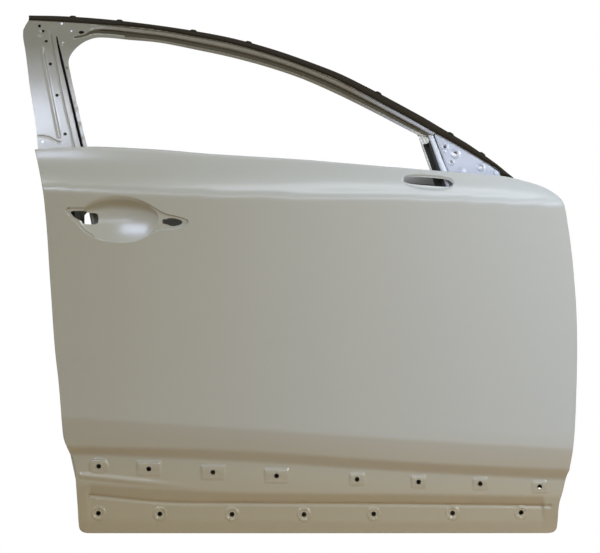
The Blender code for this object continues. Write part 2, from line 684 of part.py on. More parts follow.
def skin_plan():
    """The skin inside its border, with its creases, handle bowl, mirror slot and clip holes."""
    belt = belt_points(BELT_COLUMNS_PX)
    hem_ends = [between_edges(HEM_WIDTH)[0][-1], between_edges(SKIN_GAUGE + WELD_GAP)[0][-1], HEM[-1]]
    plan = Plan(FLANGE + hem_ends + belt)
    columns = [side((px, 0)).x for px in COLUMNS_PX]
    names = list(ROWS)
    first_front = len(names) + CORNER_STEPS + 1 + len(FOOT_COLUMNS_PX) + CORNER_STEPS + 1
    for name in names[1:]:
        start = FLANGE[names.index(name)]
        end = [FLANGE[first_front + FRONT_ROWS.index(name)]] if name in FRONT_ROWS else []
        last = end[0].x if end else HEM[-1].x
        run = [Vector((x, ROWS[name](x))) for x in columns
               if start.x + ROW_END_SPACE < x < last - ROW_END_SPACE]
        plan.draw([start] + run + end)
    toe_columns = [RECESS_REAR + RECESS_RUN, *columns[1:-1], RECESS_FRONT - RECESS_RUN]
    plan.draw([Vector((x, CREASE["toe"](x))) for x in toe_columns])
    for edge in (RECESS_REAR, RECESS_FRONT):
        inner = edge + (RECESS_RUN if edge == RECESS_REAR else -RECESS_RUN)
        plan.draw([Vector((inner, CREASE["step_foot"](inner))), Vector((inner, CREASE["toe"](inner)))])

    for number, centre_px in enumerate(UPPER_REAR_HOLES_PX + UPPER_FRONT_HOLES_PX):
        centre = side(centre_px)
        rear = number < len(UPPER_REAR_HOLES_PX)
        length = REAR_PAD_LENGTH if rear else FRONT_PAD_LENGTH
        height = REAR_PAD_HEIGHT if rear else FRONT_PAD_HEIGHT
        plan.draw(rectangle(centre, length, height, CLIP_PAD_BEVEL), closed=True)
        raised = rectangle(centre, length - 2 * CLIP_PAD_BEVEL, height - 2 * CLIP_PAD_BEVEL, CLIP_PAD_BEVEL)
        plan.draw(raised, CLIP_PAD_RAISE, closed=True)
        plan.cut(circle(centre, CLIP_HOLE_RADIUS), CLIP_PAD_RAISE)
    for centre_px in LOWER_HOLES_PX:
        centre = side(centre_px)
        plan.draw(circle(centre, LOWER_PAD_RADIUS), closed=True)
        plan.draw(circle(centre, LOWER_PAD_RADIUS - CLIP_PAD_BEVEL / 2), CLIP_PAD_RAISE, closed=True)
        plan.cut(circle(centre, CLIP_HOLE_RADIUS), CLIP_PAD_RAISE)

    bowl = [side(point) for point in BOWL_PX]
    plan.draw(bowl, closed=True)
    plan.draw(mitred(bowl, BOWL_ROLL, closed=True), -BOWL_SHELF_DEPTH, closed=True)
    floor = side(BOWL_FLOOR_PX)
    radii = side((REAR_PX + BOWL_FLOOR_RADII_PX[0], FOOT_PX - BOWL_FLOOR_RADII_PX[1]))
    wall = [floor + Vector((point.x * radii.x, point.y * radii.y))
            for point in circle(Vector((0, 0)), 1, BOWL_FLOOR_SIDES)]
    plan.draw(wall, -BOWL_DEPTH, closed=True)
    plan.cut([side(point) for point in REAR_HANDLE_HOLE_PX], -BOWL_SHELF_DEPTH)
    plan.cut([side(point) for point in FRONT_HANDLE_HOLE_PX], -BOWL_SHELF_DEPTH)
    plan.draw([side(point) for point in MIRROR_DIP_PX], closed=True)
    plan.cut([side(point) for point in MIRROR_SLOT_PX], -SLOT_DIP)

    for pad in flutter_pads():
        plan.draw(pad, closed=True)
    plan.draw(belt_band(), closed=True)
    return plan


def belt_band():
    """The stretch of skin that the outer belt reinforcement backs, from the pillar to the mirror's slot."""
    top = belt_points(BELT_COLUMNS_PX[2:])
    low = []
    for px, point in zip(BELT_COLUMNS_PX[2:], top):
        low.append(point - Vector((0, BELT_NARROW_DEPTH if px >= BELT_NARROW_PX else BELT_BAND_DEPTH)))
    return low[::-1] + top


def beam_point(t):
    """A point on the impact beam's centre line, in side view."""
    return side(BEAM_REAR_PX).lerp(side(BEAM_FRONT_PX), t)


def beam_out(x):
    """How far out the impact beam's centre line lies at a place along the door."""
    t = (x - side(BEAM_REAR_PX).x) / (side(BEAM_FRONT_PX).x - side(BEAM_REAR_PX).x)
    return BEAM_REAR_OUT + (BEAM_FRONT_OUT - BEAM_REAR_OUT) * t


def flutter_pads():
    """Outlines of the mastic pads between the impact beam and the skin."""
    return [rectangle(beam_point(share), PAD_LENGTH, PAD_HEIGHT) for share in PAD_PLACE_SHARES]


def outer_panel(plan):
    """The skin, with its edge folded back round the inner panel's flange."""
    sheet = Sheet()
    fold = 2 * SKIN_GAUGE + INNER_GAUGE + 2 * WELD_GAP
    tucked, tucked_out = between_edges(SKIN_GAUGE)
    edge = sheet.ring([at(point, out) for point, out in zip(HEM, HEM_OUT)],
                      [at(point, out - SKIN_GAUGE) for point, out in zip(tucked, tucked_out)])
    behind = sheet.ring([at(point, out - fold) for point, out in zip(HEM, HEM_OUT)],
                        [at(point, out - fold + SKIN_GAUGE) for point, out in zip(tucked, tucked_out)])
    border = sheet.ring([at(point, out) for point, out in zip(FLANGE, FLANGE_OUT)],
                        [at(point, out - SKIN_GAUGE) for point, out in zip(FLANGE, FLANGE_OUT)])
    inward = edge
    folded = behind
    ends = [edge[-1]]
    for line, outs in (between_edges(SKIN_GAUGE + WELD_GAP), between_edges(HEM_WIDTH)):
        ring = sheet.ring([at(point, out) for point, out in zip(line, outs)],
                          [at(point, out - SKIN_GAUGE) for point, out in zip(line, outs)])
        sheet.strip(inward, ring)
        inward = ring
        ends.insert(0, ring[-1])
        ring = sheet.ring([at(point, out - fold) for point, out in zip(line, outs)],
                          [at(point, out - fold + SKIN_GAUGE) for point, out in zip(line, outs)])
        sheet.strip(folded, ring, turned=True)
        folded = ring
    sheet.strip(inward, border)
    sheet.strip(behind, edge)
    places, reliefs, on_border, triangles = plan
    index = []
    for place, relief, number in zip(places, reliefs, on_border):
        if number is not None and number < len(FLANGE):
            index.append(border[number])
        elif number is not None and number < len(FLANGE) + len(ends):
            index.append(ends[number - len(FLANGE)])
        else:
            out = skin_out(place.x, place.y) + relief
            index.append(sheet.add(at(place, out), at(place, out - SKIN_GAUGE)))
    sheet.faces += [tuple(index[corner] for corner in face) for face in triangles]
    return sheet.build("outer_panel", body_paint)


def lining(plan, outline, gauge, back_out=None):
    """A plate behind the skin that follows its facets inside an outline, and where its corners went."""
    places, reliefs, _, triangles = plan
    sheet = Sheet()
    index = {}
    for face in triangles:
        middle = sum((places[corner] for corner in face), Vector((0, 0))) / 3
        if not inside(outline, middle):
            continue
        for corner in face:
            if corner not in index:
                place = places[corner]
                out = skin_out(place.x, place.y) + reliefs[corner] - SKIN_GAUGE - WELD_GAP
                back = out - gauge if back_out is None else back_out
                index[corner] = sheet.add(at(place, out), at(place, back))
        sheet.faces.append(tuple(index[corner] for corner in face))
    return sheet, index


def outer_belt_reinforcement(plan):
    """The plate behind the skin's belt, whose upper edge rises past the skin's to carry the glass seal."""
    sheet, index = lining(plan, belt_band(), INNER_GAUGE)
    along = sorted((plan[0][corner].x, corner) for corner in index
                   if plan[0][corner].y > CREASE["belt"](plan[0][corner].x) - SKIN_GAUGE)
    feet = [index[corner] for _, corner in along]
    tops = []
    for _, corner in along:
        place = plan[0][corner]
        out = skin_out(place.x, place.y) - SKIN_GAUGE - WELD_GAP
        top = place + Vector((0, BELT_BAND_RISE))
        tops.append(sheet.add(at(top, out), at(top, out - INNER_GAUGE)))
    sheet.strip(feet, tops)
    sheet.build("belt_reinforcement_outer", steel)


def tub_face():
    """The inner panel's face inside its walls, with flanged apertures, trim holes and stiffening beads."""
    plan = Plan(TUB + belt_points(BELT_COLUMNS_PX))
    places = [side((px, 0)).x for px in (*TUB_FRONT_COLUMNS_PX, *BELT_COLUMNS_PX, TUB_REAR_COLUMN_PX)]
    for share in (0, 0.5, 1):
        drop = TUB_STEP_START + share * TUB_STEP_RUN
        plan.draw([Vector((x, CREASE["belt"](x) - drop)) for x in places])
    for aperture in APERTURES_PX:
        outline = bevelled([side(point) for point in aperture], APERTURE_CORNER_CUT)
        plan.draw(mitred(outline, -APERTURE_LIP_WIDTH, closed=True), closed=True)
        plan.cut(outline, APERTURE_LIP_DEPTH)
    speaker = side(SPEAKER_PX)
    plan.draw(circle(speaker, SPEAKER_RADIUS + 2 * APERTURE_LIP_WIDTH, SPEAKER_SIDES), closed=True)
    plan.draw(circle(speaker, SPEAKER_RADIUS + APERTURE_LIP_WIDTH, SPEAKER_SIDES), -APERTURE_LIP_DEPTH,
              closed=True)
    plan.cut(circle(speaker, SPEAKER_RADIUS, SPEAKER_SIDES), -APERTURE_LIP_DEPTH)
    for centre in TRIM_HOLES_PX:
        plan.cut(circle(side(centre), TRIM_HOLE_RADIUS, NUT_SIDES))
    for bead in BEADS_PX:
        outline = bevelled([side(point) for point in bead], BEAD_CORNER_CUT)
        plan.draw(outline, closed=True)
        plan.draw(mitred(outline, BEAD_HEIGHT, closed=True), -BEAD_HEIGHT, closed=True)
    return plan.triangles()


def bevelled(corners, cut):
    """A polygon with each of its corners cut off."""
    points = []
    for index, corner in enumerate(corners):
        before = corners[index - 1]
        after = corners[(index + 1) % len(corners)]
        points += [corner + (side_end - corner).normalized() * cut for side_end in (before, after)]
    return points


def inner_panel():
    """The inner pressing: flange inside the hem, end walls and floor, and the face towards the cabin."""
    sheet = Sheet()
    lap, lap_out = between_edges(SKIN_GAUGE + WELD_GAP)
    front_gap = SKIN_GAUGE + WELD_GAP
    lip = sheet.ring([at(point, out - front_gap) for point, out in zip(lap, lap_out)],
                     [at(point, out - front_gap - INNER_GAUGE) for point, out in zip(lap, lap_out)])
    outside_bend = mitred(FLANGE, -INNER_GAUGE)
    back_gap = front_gap + INNER_GAUGE
    bend = sheet.ring([at(point, out - front_gap) for point, out in zip(FLANGE, FLANGE_OUT)],
                      [at(point, out - back_gap) for point, out in zip(outside_bend, FLANGE_OUT)])
    outside_foot = mitred(TUB, -INNER_GAUGE)
    foot = sheet.ring([at(point, tub_out(point.x, point.y)) for point in TUB],
                      [at(back, tub_out(point.x, point.y) - INNER_GAUGE)
                       for back, point in zip(outside_foot, TUB)])
    under_hem, under_hem_out = between_edges(HEM_WIDTH)
    middle = sheet.ring([at(point, out - front_gap) for point, out in zip(under_hem, under_hem_out)],
                        [at(point, out - back_gap) for point, out in zip(under_hem, under_hem_out)])
    sheet.strip(lip, middle)
    sheet.strip(middle, bend)
    sheet.strip(bend, foot)
    places, reliefs, on_border, triangles = tub_face()
    index = []
    for place, relief, number in zip(places, reliefs, on_border):
        if number is not None and number < len(TUB):
            index.append(foot[number])
        else:
            out = tub_out(place.x, place.y) + relief
            index.append(sheet.add(at(place, out), at(place, out - INNER_GAUGE)))
    sheet.faces += [tuple(index[corner] for corner in face) for face in triangles]
    return sheet.build("inner_panel", steel)


def tub_line():
    """The flange line moved in by the walls' draft, but not where the hinges and the latch stand."""
    drafted = mitred(FLANGE, TUB_DRAFT)
    hinge_face = side((HINGE_FACE_PX, 0)).x - INNER_GAUGE
    latch_face = side((LATCH_FACE_PX, 0)).x + INNER_GAUGE
    points = []
    for point, moved in zip(FLANGE, drafted):
        if abs(point.x - hinge_face) < WELD_GAP or abs(point.x - latch_face) < WELD_GAP:
            moved = Vector((point.x, moved.y if point == FLANGE[0] else point.y))
        points.append(moved)
    points[0] = Vector((FLANGE[0].x, FLANGE[0].y))
    return points


def frame_stations():
    """Matched points of the frame's outer edge and window edge, with how far each has turned to header."""
    outer = [side(point) for point in FRAME_OUTER_PX]
    window = [side(point) for point in FRAME_WINDOW_PX]
    turned = [eased((number - PILLAR_STATIONS) / (HEADER_STATIONS - PILLAR_STATIONS))
              for number in range(len(outer))]
    return list(zip(outer, window, turned))


def section_sheet(name, stations, gauge, finish):
    """A pressing swept through stations, each (zero point, direction across, section of across and out)."""
    sheet = Sheet()
    rings = []
    for origin, across, section in stations:
        back = mitred([Vector(point) for point in section], -gauge)
        rings.append([sheet.add(at(origin + across * a[0], a[1]), at(origin + across * b.x, b.y))
                      for a, b in zip(section, back)])
    for outer, inner in zip(rings, rings[1:]):
        for a, b, c, d in zip(outer, outer[1:], inner[1:], inner):
            sheet.faces += [(a, c, b), (a, d, c)]
    return facing_out(sheet.build(name, finish))


def mixed(pillar, header, turned):
    return pillar + (header - pillar) * turned


def window_frame_outer():
    """The frame's outer face: the pillar's plate and the header's bead, with a lip beside the glass."""
    stations = []
    for outer, window, turned in frame_stations():
        width = (window - outer).length
        across = (window - outer).normalized()
        step = mixed(FRAME_STEP, FRAME_STEP * HEADER_STEP_SHARE, turned)
        section = []
        for pillar, header, raised in zip(PILLAR_LINE_SHARES, HEADER_LINE_SHARES, (0, 0, 1, 1)):
            run = width * mixed(pillar, header, turned)
            place = outer + across * run
            section.append((run, frame_out(place.x, place.y) + step * raised))
        section.append((section[-1][0], section[-1][1] - LIP_RETURN))
        stations.append((outer, across, section))
    frame = section_sheet("window_frame_outer", stations, FRAME_GAUGE, body_paint)
    holes = []
    for number, centre in enumerate(PLATE_HOLES_PX):
        place = side(centre)
        low = frame_out(place.x, place.y) - PLATE_HOLE_REACH
        holes.append(cutter_of("pillar_plate_hole_" + str(number + 1), circle(place, PLATE_HOLE_RADIUS),
                               lambda point, depth, low=low: at(point, low + depth), 2 * PLATE_HOLE_REACH))
    cut_from(frame, holes)


def window_frame_inner():
    """The frame's inner pressing: a hat section that closes the frame and carries the glass run."""
    stations = []
    for outer, window, turned in frame_stations():
        width = (window - outer).length
        across = (window - outer).normalized()
        rise = (outer.y - BELT_HEIGHT) / FRAME_HEIGHT
        depth = BOX_AT_BELT + (BOX_AT_ROOF - BOX_AT_BELT) * rise
        below = (FRAME_GAUGE + WELD_GAP, FRAME_GAUGE + WELD_GAP, depth, depth, CHANNEL_DEPTH, CHANNEL_DEPTH)
        section = []
        for pillar, header, down in zip(PILLAR_HAT_SHARES, HEADER_HAT_SHARES, below):
            run = width * mixed(pillar, header, turned)
            place = outer + across * run
            section.append((run, frame_out(place.x, place.y) - down))
        stations.append((outer, across, section))
    return section_sheet("window_frame_inner", stations, INNER_GAUGE, steel)


def run_channel(name, path, width):
    """A U section that guides the glass: path holds its mouth's edge and the direction into its web."""
    stations = []
    for mouth, inward in path:
        low = CHANNEL_DEPTH - CHANNEL_SEAT - CHANNEL_GAUGE
        top = FRAME_GAUGE + CHANNEL_SEAT + CHANNEL_GAUGE
        section = []
        for run, down in ((0, low), (width, low), (width, top), (width - CHANNEL_LEG, top)):
            place = mouth + inward * run
            section.append((run, frame_out(place.x, place.y) - down))
        stations.append((mouth, inward, section))
    return section_sheet(name, stations, CHANNEL_GAUGE, steel)


def channel_station(number):
    """Mouth edge and inward direction of the glass run at one of the frame's stations."""
    outer, window, _ = frame_stations()[number]
    inward = (outer - window).normalized()
    return window + inward * CHANNEL_EDGE_SET, inward


def glass_run_channels():
    """The rear, header and front channels; the rear and front ones go down into the door."""
    rear = [(side(point), Vector((-1, 0))) for point in REAR_CHANNEL_PX[::-1]]
    rear += [channel_station(number) for number in range(0, CHANNEL_SPLICE_STATION + 1)]
    run_channel("rear_run_channel", rear, CHANNEL_WIDTH)
    start, inward = channel_station(CHANNEL_SPLICE_STATION)
    after, inward_after = channel_station(CHANNEL_SPLICE_STATION + 1)
    splice = (start.lerp(after, CHANNEL_SPLICE_SHARE),
              inward.lerp(inward_after, CHANNEL_SPLICE_SHARE).normalized())
    header = [splice] + [channel_station(n) for n in range(CHANNEL_SPLICE_STATION + 1, HEADER_CHANNEL_LAST)]
    run_channel("header_run_channel", header, CHANNEL_WIDTH)
    front = [(side(point), Vector((1, 0))) for point in FRONT_CHANNEL_PX]
    run_channel("front_run_channel", front, FRONT_CHANNEL_WIDTH)
    return rear[0][0], front[-1][0]


def bar_edge(number):
    """Rear edge of the division bar at one of its points, and its width there."""
    place = side(DIVISION_BAR_PX[number])
    fall = min(number, 1)
    return place, BAR_WIDTH_AT_ROOF + (BAR_WIDTH_AT_BELT - BAR_WIDTH_AT_ROOF) * fall


def division_bar():
    """The upright bar between the glass and the mirror's corner, its two edges turned in."""
    stations = []
    for number in range(len(DIVISION_BAR_PX)):
        place, width = bar_edge(number)
        face = frame_out(place.x, place.y)
        stations.append((place, Vector((1, 0)), [(0, face), (width, face), (width, face - BAR_LIP)]))
    return section_sheet("division_bar", stations, FRAME_GAUGE, body_paint)


def formed_plate(name, plan_of, out_of, gauge, finish):
    """A plate cut to a plan, formed to a surface."""
    places, reliefs, _, triangles = plan_of.triangles()
    sheet = Sheet()
    used = sorted({corner for face in triangles for corner in face})
    index = {}
    for corner in used:
        place = places[corner]
        out = out_of(place.x, place.y) + reliefs[corner]
        index[corner] = sheet.add(at(place, out), at(place, out - gauge))
    sheet.faces += [tuple(index[corner] for corner in face) for face in triangles]
    return sheet.build(name, finish)


def sail_outline():
    """Outline of the mirror's corner, from the division bar to the front tip."""
    left = []
    for number in (0, 1, 2):
        place, width = bar_edge(number)
        left.append(place + Vector((width + WELD_GAP, 0)))
    front = [side(point) for point in SAIL_FRONT_PX]
    return left + front


def mirror_corner():
    """The mirror's corner: outer panel, the plate for the mirror's screws, and the inner closing panel."""
    holes = [(side(centre), radius) for centre, radius in zip(SAIL_HOLES_PX, SAIL_HOLE_RADII)]
    plates = (("mirror_corner_panel", sail_outline(), 0, FRAME_GAUGE, body_paint),
              ("mirror_mount_plate", [side(point) for point in MIRROR_PLATE_PX], FRAME_GAUGE + WELD_GAP,
               PLATE_GAUGE, steel))
    for name, outline, drop, gauge, finish in plates:
        plan = Plan(outline)
        for centre, radius in holes:
            plan.cut(circle(centre, radius, SAIL_HOLE_SIDES))
        formed_plate(name, plan, lambda x, z, drop=drop: frame_out(x, z) - drop, gauge, finish)
    outline = [side(point) for point in CORNER_INNER_PX]

    def closing_out(x, z):
        rise = (z - BELT_HEIGHT) / FRAME_HEIGHT
        depth = BOX_AT_BELT + (BOX_AT_ROOF - BOX_AT_BELT) * rise
        return max(tub_out(x, z), frame_out(x, z) - depth) + WELD_GAP + INNER_GAUGE

    plan = Plan(outline)
    for centre, radius in holes:
        plan.cut(circle(centre, radius + TRIM_HOLE_RADIUS))
    formed_plate("mirror_corner_inner", plan, closing_out, INNER_GAUGE, steel)


def weatherstrip_clips():
    """Small studs along the retainer's roof edge."""
    edge = [outer + (outer - window).normalized() * RETAINER_OVERHANG
            for outer, window, _ in frame_stations()]
    for number, place_px in enumerate(CLIPS_PX):
        place = side(place_px)
        for a, b in zip(edge[RETAINER_FIRST:], edge[RETAINER_FIRST + 1:]):
            if a.x <= place.x <= b.x:
                along = (b - a).normalized()
                up = Vector((-along.y, along.x))
                foot = a.lerp(b, (place.x - a.x) / (b.x - a.x)) + up * CLIP_SEAT
        raised = FRAME_STEP * HEADER_STEP_SHARE if place_px[0] > CLIP_RAISED_PX else 0
        out = frame_out(foot.x, foot.y) + WELD_GAP + RETAINER_THICK / 2 - CLIP_WIDTH / 2 + raised
        half = CLIP_LENGTH / 2
        profile = [Vector((-half, 0)), Vector((half, 0)), Vector((half * CLIP_TOP_SHARE, CLIP_HEIGHT)),
                   Vector((-half * CLIP_TOP_SHARE, CLIP_HEIGHT))]
        facing_out(extruded("weatherstrip_clip_" + str(number + 1), profile,
                            lambda point, run: at(foot + along * point.x + up * point.y, out + run),
                            CLIP_WIDTH, dark_trim))


def header_retainer():
    """The dark trim along the roof side of the header, widening to a wedge over the mirror's corner."""
    stations = []
    frame = frame_stations()
    for number in range(RETAINER_FIRST, len(frame)):
        outer, window, _ = frame[number]
        across = (window - outer).normalized()
        past = max(number - RETAINER_WEDGE_STATION, 0)
        width = (window - outer).length * RETAINER_WIDTH_SHARE + past * past * RETAINER_WEDGE_GROWTH
        raised = FRAME_STEP * HEADER_STEP_SHARE if number >= RETAINER_WEDGE_STATION else 0
        base = [outer + across * run for run in (-RETAINER_OVERHANG, width)]
        outs = [frame_out(place.x, place.y) + raised + TRIM_GAP + RETAINER_THICK for place in base]
        stations.append((outer, across, [(-RETAINER_OVERHANG, outs[0]), (width, outs[1])]))
    return section_sheet("header_retainer", stations, RETAINER_THICK, dark_trim)


def upright(place_x, out, z):
    """A point in the door's own frame."""
    return Vector((place_x, -out, z))


def hole_through_wall(name, centre_out, height, outline, wall_px):
    """A cutter along the door's length, through one end wall and the plates on it."""
    wall = side((wall_px, 0)).x
    return cutter_of(name, [Vector((centre_out + point.x, height + point.y)) for point in outline],
                     lambda point, depth: upright(wall - WALL_CUT_REACH + depth, point.x, point.y),
                     2 * WALL_CUT_REACH)


def wall_seat(name, wall_px, facing, centre_out, height, size):
    """A flat seat pressed out of an end wall, for a hinge or the latch."""
    wall = side((wall_px, 0)).x
    return cutter_of(name, rectangle(Vector((centre_out, height)), *size),
                     lambda point, run: upright(wall + facing * (run - SEAT_ROOT), point.x, point.y),
                     SEAT_ROOT + SEAT_RAISE)


def wall_plate(name, wall_px, facing, centre_out, height, depth, tall, leg, finish):
    """An angle plate inside an end wall, with a leg on the panel's face; facing is 1 at the front."""
    wall = side((wall_px, 0)).x - facing * (INNER_GAUGE + WELD_GAP)
    floor = tub_out(wall, height) + WELD_GAP
    profile = [Vector((wall, centre_out + depth / 2)), Vector((wall, floor)),
               Vector((wall - facing * leg, floor)), Vector((wall - facing * leg, floor + PLATE_GAUGE)),
               Vector((wall - facing * PLATE_GAUGE, floor + PLATE_GAUGE)),
               Vector((wall - facing * PLATE_GAUGE, centre_out + depth / 2))]
    low = height - tall / 2
    return facing_out(extruded(name, profile, lambda point, run: upright(point.x, point.y, low + run), tall,
                               finish))


def weld_nut(name, wall_px, facing, out, height):
    """A hexagon nut behind a plate, with its thread's bore left plain."""
    start = side((wall_px, 0)).x - facing * (INNER_GAUGE + PLATE_GAUGE + 2 * WELD_GAP)
    rings = []
    for radius in (NUT_RADIUS, BOLT_HOLE_RADIUS):
        for run in (0, NUT_HEIGHT):
            rings.append([upright(start - facing * run, out + point.x, height + point.y)
                          for point in circle(Vector((0, 0)), radius, NUT_SIDES)])
    outer_a, outer_b, bore_a, bore_b = (list(range(NUT_SIDES * n, NUT_SIDES * n + NUT_SIDES))
                                        for n in range(4))
    faces = []
    for a, b in ((outer_a, outer_b), (outer_b, bore_b), (bore_b, bore_a), (bore_a, outer_a)):
        faces += [(a[number - 1], a[number], b[number], b[number - 1]) for number in range(NUT_SIDES)]
    return facing_out(solid(name, sum(rings, []), faces, zinc))


def impact_beam():
    """The tube that crosses the door behind the skin."""
    start = beam_point(0)
    end = beam_point(1)
    axis = (end - start).normalized()
    up = Vector((-axis.y, axis.x))
    rings = []
    for centre in (start, end):
        for radius in (BEAM_RADIUS, BEAM_RADIUS - BEAM_WALL):
            rings.append([at(centre + up * point.x, beam_out(centre.x) + point.y)
                          for point in circle(Vector((0, 0)), radius, BEAM_SIDES)])
    outer_a, bore_a, outer_b, bore_b = (list(range(BEAM_SIDES * n, BEAM_SIDES * n + BEAM_SIDES))
                                        for n in range(4))
    faces = []
    for a, b in ((outer_a, outer_b), (outer_b, bore_b), (bore_b, bore_a), (bore_a, outer_a)):
        faces += [(a[n - 1], a[n], b[n], b[n - 1]) for n in range(BEAM_SIDES)]
    return facing_out(solid("impact_beam", sum(rings, []), faces, steel))


def beam_bracket(name, facing, t):
    """An angle that carries one end of the beam on the end wall; the beam lies on its outer side."""
    height = beam_point(t).y
    low = height - BEAM_BRACKET_HEIGHT / 2
    near = [point.x for point in FLANGE + TUB if abs(point.y - height) < BEAM_BRACKET_HEIGHT
            and (point.x - DOOR_LENGTH / 2) * facing > 0]
    wall = min(near) - BEAM_BRACKET_GAP if facing > 0 else max(near) + BEAM_BRACKET_GAP
    inner_end = wall - facing * BEAM_BRACKET_LENGTH
    seat = min(beam_out(wall), beam_out(inner_end)) - BEAM_RADIUS - WELD_GAP
    profile = [Vector((wall, seat - BRACKET_DROP)), Vector((wall, seat)), Vector((inner_end, seat)),
               Vector((inner_end, seat - PLATE_GAUGE)),
               Vector((wall - facing * PLATE_GAUGE, seat - PLATE_GAUGE)),
               Vector((wall - facing * PLATE_GAUGE, seat - BRACKET_DROP))]
    return facing_out(extruded(name, profile, lambda point, run: upright(point.x, point.y, low + run),
                               BEAM_BRACKET_HEIGHT, steel))


def inner_belt_reinforcement():
    """A hat section along the inner panel's belt, on its cavity side."""
    stations = []
    for px in BELT_COLUMNS_PX[3:]:
        x = side((px, 0)).x
        top = Vector((x, CREASE["belt"](x)))
        face = -TUB_TOP_DEPTH + WELD_GAP + INNER_GAUGE
        raised = face + BELT_HAT_HEIGHT
        runs = [share * TUB_STEP_START for share in BELT_HAT_SHARES]
        stations.append((top, Vector((0, -1)), list(zip(runs, (face, face, raised, raised, face, face)))))
    return section_sheet("belt_reinforcement_inner", stations, INNER_GAUGE, steel)


def channel_bracket(name, foot_of_channel, facing):
    """A stepped plate between the foot of a glass run channel and the inner panel's face."""
    start = foot_of_channel.x + (WELD_GAP if facing > 0 else -WELD_GAP - CHANNEL_WIDTH)
    height = foot_of_channel.y
    top = height + BRACKET_FOOT
    seats = []
    for z in (height, top):
        backs = [frame_out(x, z) for x in (start, start + CHANNEL_WIDTH)]
        seats.append(min(backs) - CHANNEL_DEPTH - WELD_GAP)
    low, high = seats
    floor = tub_out(foot_of_channel.x, height) + WELD_GAP
    profile = [Vector((high, top)), Vector((high - PLATE_GAUGE, top)),
               Vector((low - PLATE_GAUGE, height + PLATE_GAUGE)),
               Vector((floor + PLATE_GAUGE, height + PLATE_GAUGE)), Vector((floor + PLATE_GAUGE, top)),
               Vector((floor, top)), Vector((floor, height)), Vector((low, height))]
    return facing_out(extruded(name, profile, lambda point, along: upright(start + along, point.x, point.y),
                               CHANNEL_WIDTH, steel))


TUB = tub_line()
door_frame = bpy.data.objects.new("door_frame", None)
hinge_face_centre = at(side((HINGE_FACE_PX, HINGE_HEIGHT_PX[0])) + Vector((SEAT_RAISE, 0)), HINGE_OUT)
door_frame.location = -hinge_face_centre
bpy.context.scene.collection.objects.link(door_frame)
steel = paint("primed_steel", (0.42, 0.42, 0.40), 0.5)
zinc = paint("zinc_plate", (0.55, 0.55, 0.52), 0.4, 0.9)
dark_trim = paint("dark_trim", (0.03, 0.03, 0.03), 0.6)
body_paint = paint("pearl_body_paint", (0.62, 0.61, 0.57), 0.35)
mastic = paint("mastic", (0.06, 0.06, 0.06), 0.9)

skin = skin_plan().triangles()
outer_panel(skin)
panel = inner_panel()
window_frame_outer()
window_frame_inner()
rear_foot, front_foot = glass_run_channels()
channel_bracket("rear_channel_bracket", rear_foot, -1)
channel_bracket("front_channel_bracket", front_foot, 1)
division_bar()
mirror_corner()
header_retainer()
weatherstrip_clips()

handle_bowl = mitred([side(point) for point in BOWL_PX], BOWL_ROLL / 2, closed=True)
lining(skin, handle_bowl, PLATE_GAUGE)[0].build("handle_reinforcement", steel)
mirror_dip = [side(point) for point in MIRROR_DIP_PX]
lining(skin, mirror_dip, PLATE_GAUGE)[0].build("mirror_slot_reinforcement", steel)
outer_belt_reinforcement(skin)
for number, pad in enumerate(flutter_pads()):
    under = max(beam_out(point.x) for point in pad) + BEAM_RADIUS + WELD_GAP
    lining(skin, pad, SKIN_GAUGE, under)[0].build("flutter_pad_" + str(number + 1), mastic)

cutters = []
seats = []
for which, height_px in zip(("upper", "lower"), HINGE_HEIGHT_PX):
    height = side((0, height_px)).y
    seats.append(wall_seat("hinge_seat_" + which, HINGE_FACE_PX, 1, HINGE_OUT, height, HINGE_SEAT))
    plate = wall_plate("hinge_reinforcement_" + which, HINGE_FACE_PX, 1, HINGE_OUT, height, HINGE_PLATE_DEPTH,
                       HINGE_PLATE_HEIGHT, HINGE_PLATE_LEG, steel)
    holes = []
    for side_name, sign in (("top", 1), ("bottom", -1)):
        place = height + sign * HINGE_HOLE_SPACING / 2
        holes.append(hole_through_wall("hinge_hole_" + which + "_" + side_name, HINGE_OUT, place,
                                       circle(Vector((0, 0)), BOLT_HOLE_RADIUS, BOLT_SIDES), HINGE_FACE_PX))
        weld_nut("weld_nut_" + which + "_" + side_name, HINGE_FACE_PX, 1, HINGE_OUT, place)
    cut_from(plate, holes)
    cutters += holes
check_height = (side((0, HINGE_HEIGHT_PX[0])).y + side((0, HINGE_HEIGHT_PX[1])).y) / 2
check_slot = hole_through_wall("check_slot", HINGE_OUT, check_height,
                               rectangle(Vector((0, 0)), CHECK_SLOT_WIDTH, CHECK_SLOT_HEIGHT), HINGE_FACE_PX)
check_plate = wall_plate("check_arm_plate", HINGE_FACE_PX, 1, HINGE_OUT, check_height,
                         CHECK_SLOT_WIDTH + 2 * CHECK_PLATE_MARGIN,
                         CHECK_SLOT_HEIGHT + 2 * CHECK_PLATE_MARGIN, CHECK_PLATE_MARGIN, steel)
cut_from(check_plate, [check_slot])
harness = hole_through_wall("harness_hole", HINGE_OUT, side((0, HARNESS_HEIGHT_PX)).y,
                            circle(Vector((0, 0)), HARNESS_HOLE_RADIUS, HARNESS_SIDES), HINGE_FACE_PX)
latch_height = side((0, LATCH_HEIGHT_PX)).y
mouth = hole_through_wall("latch_mouth", LATCH_OUT, latch_height,
                          rectangle(Vector((0, 0)), LATCH_MOUTH_WIDTH, LATCH_MOUTH_HEIGHT), LATCH_FACE_PX)
latch_plate = wall_plate("latch_reinforcement", LATCH_FACE_PX, -1, LATCH_OUT, latch_height, LATCH_PLATE_DEPTH,
                         LATCH_PLATE_HEIGHT, LATCH_PLATE_LEG, steel)
screws = []
